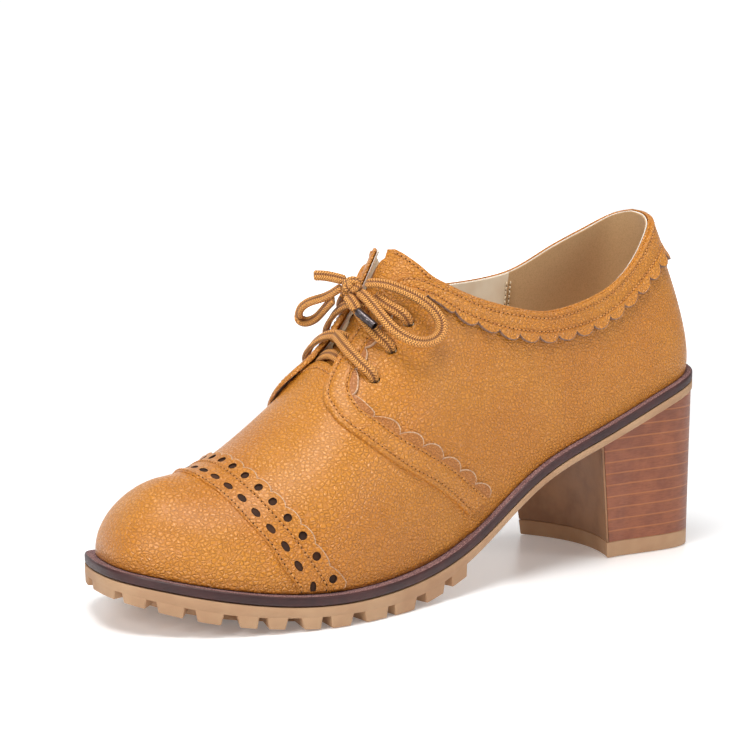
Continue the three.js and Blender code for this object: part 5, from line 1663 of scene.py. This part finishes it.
def heel_level(share, bottom, top_of, shift, back=90, front=30):
    """Closed loop of the heel at a share of its height, with the top following the sole."""
    height = np.full(back + front, 30.0)
    for _ in range(12):
        z_corner = height[[0, back - 1]]
        corner = np.array([float(heel_corner(1, z_corner[:1], shift)[0]),
                           float(heel_corner(-1, z_corner[1:], shift)[0])])
        rnd = np.linspace(corner[0], corner[1], back)
        p = heel_edge(rnd, height[:back])
        y = np.linspace(p[-1, 1], p[0, 1], front + 2)[1:-1]
        q = np.stack([breast_x(y, height[back:], shift), y], -1)
        loop = np.concatenate([p, q])
        height = mix(bottom, top_of(loop[:, 0]), share)
    return np.concatenate([loop, height[:, None]], 1)


def heel_body(bottom, top_of, shift, levels, swell=None):
    sections = np.stack([heel_level(s, bottom, top_of, shift) for s in levels])
    return tube(sections)


def stack_top(x):
    return rubber_foot(x) - 0.05


def make_heel():
    floor = TOP_PIECE_THICK
    levels = np.concatenate([[0, 0.004], np.linspace(0.02, 0.98, 30), [1.0]])
    points, faces = heel_body(floor + 0.02, stack_top, 0.0, levels)
    stack = piece("heel_layers", points, faces, [STACK], ["heel_stack"], weld=0)
    bevel(stack, 0.35, 3, 40)
    make_cover(floor)
    flat_top = lambda x: np.zeros_like(x) + floor
    points, faces = heel_body(0.0, flat_top, COVER_THICK + 0.1, [0.0, 0.5, 1.0])
    top_piece = piece("heel_tip", points, faces, [RUBBER_MAT], ["heel_top_piece"], weld=0)
    bevel(top_piece, 0.4, 3, 40)


def make_cover(floor):
    """Cover of the hollow breast, with round upper corners."""
    rows, cols = 40, 41
    share = np.linspace(0, 1, rows)
    front, back = [], []
    for s in share:
        loops = []
        for shift in (COVER_THICK + 0.05, 0.02):
            z = np.full(2, 30.0)
            for _ in range(10):
                corner = [float(heel_corner(k, z[i:i + 1], shift)[0]) for i, k in enumerate((1, -1))]
                ends = np.array([heel_edge(np.array(c), z[i]) for i, c in enumerate(corner)])
                y = np.linspace(ends[1][1] + 0.05, ends[0][1] - 0.05, cols)
                guess = np.full(cols, 40.0)
                for _ in range(6):
                    x = breast_x(y, guess, shift)
                    guess = mix(floor + 0.02, stack_top(x), s)
                z = guess[[-1, 0]]
            loops.append(np.stack([x, y, guess], -1))
        front.append(loops[0])
        back.append(loops[1])
    points, faces, kind = slab(np.array(front), np.array(back))
    cover = piece("breast_cover_sheet", points, faces, [COVER], ["heel_breast_cover"], weld=0)
    bevel(cover, 0.5, 3, 50)


make_heel()

# Insole keeps its CAD shape
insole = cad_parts["insole"]
insole.data.materials.clear()
insole.data.materials.append(LINING)


# Stage
def make_stage():
    mesh = bpy.data.meshes.new("floor")
    size = 12.0
    mesh.from_pydata([(-size, -size, 0), (size, -size, 0), (size, size, 0), (-size, size, 0)], [], [(0, 1, 2, 3)])
    floor = bpy.data.objects.new("floor", mesh)
    floor.location.z = -0.0002
    m = Nodes("floor_white", 0.32)
    m.shader.inputs["Emission Color"].default_value = (1, 1, 1, 1)
    away = m.node("ShaderNodeVectorMath", operation="LENGTH")
    m.put(away.inputs[0], m.place)
    m.put(m.shader.inputs["Emission Strength"], m.ramp(away.outputs["Value"], 0.25, 1.3, 0.14, 1.0))
    mesh.materials.append(m.finish((0.95, 0.95, 0.95, 1.0)))
    SCENE.collection.objects.link(floor)


def make_light(name, place, target, size, power, tint=(1, 1, 1)):
    data = bpy.data.lights.new(name, "AREA")
    data.shape = "RECTANGLE"
    data.size, data.size_y = size
    data.energy = power
    data.color = tint
    lamp = bpy.data.objects.new(name, data)
    lamp.location = place
    aim = Vector(target) - Vector(place)
    lamp.rotation_euler = aim.to_track_quat("-Z", "Y").to_euler()
    SCENE.collection.objects.link(lamp)


def make_world():
    """Studio round the shoe: a white wall behind it, and dimmer elsewhere."""
    world = bpy.data.worlds.new("studio")
    world.use_nodes = True
    tree = world.node_tree
    shade = tree.nodes["Background"]
    shade.inputs["Color"].default_value = (1, 1, 1, 1)
    place = tree.nodes.new("ShaderNodeTexCoord").outputs["Generated"]
    facing = tree.nodes.new("ShaderNodeVectorMath")
    facing.operation = "DOT_PRODUCT"
    facing.inputs[1].default_value = WALL_SIDE
    tree.links.new(place, facing.inputs[0])
    ramp = tree.nodes.new("ShaderNodeMapRange")
    ramp.interpolation_type = "SMOOTHSTEP"
    for name, value in (("From Min", 0.55), ("From Max", 0.88), ("To Min", 0.30), ("To Max", 1.03)):
        ramp.inputs[name].default_value = value
    tree.links.new(facing.outputs["Value"], ramp.inputs["Value"])
    tree.links.new(ramp.outputs["Result"], shade.inputs["Strength"])
    SCENE.world = world
    SCENE.view_settings.view_transform = "Standard"


make_stage()
make_light("key_top", (0.30, 0.15, 0.95), (0.09, 0, 0.05), (0.5, 0.4), 7.2)
make_light("key_left", (0.85, 0.30, 0.50), (0.12, 0, 0.05), (0.3, 0.4), 3.0)
make_light("fill_right", (-0.40, 0.75, 0.50), (0.0, 0, 0.05), (0.4, 0.5), 1.8)
make_world()
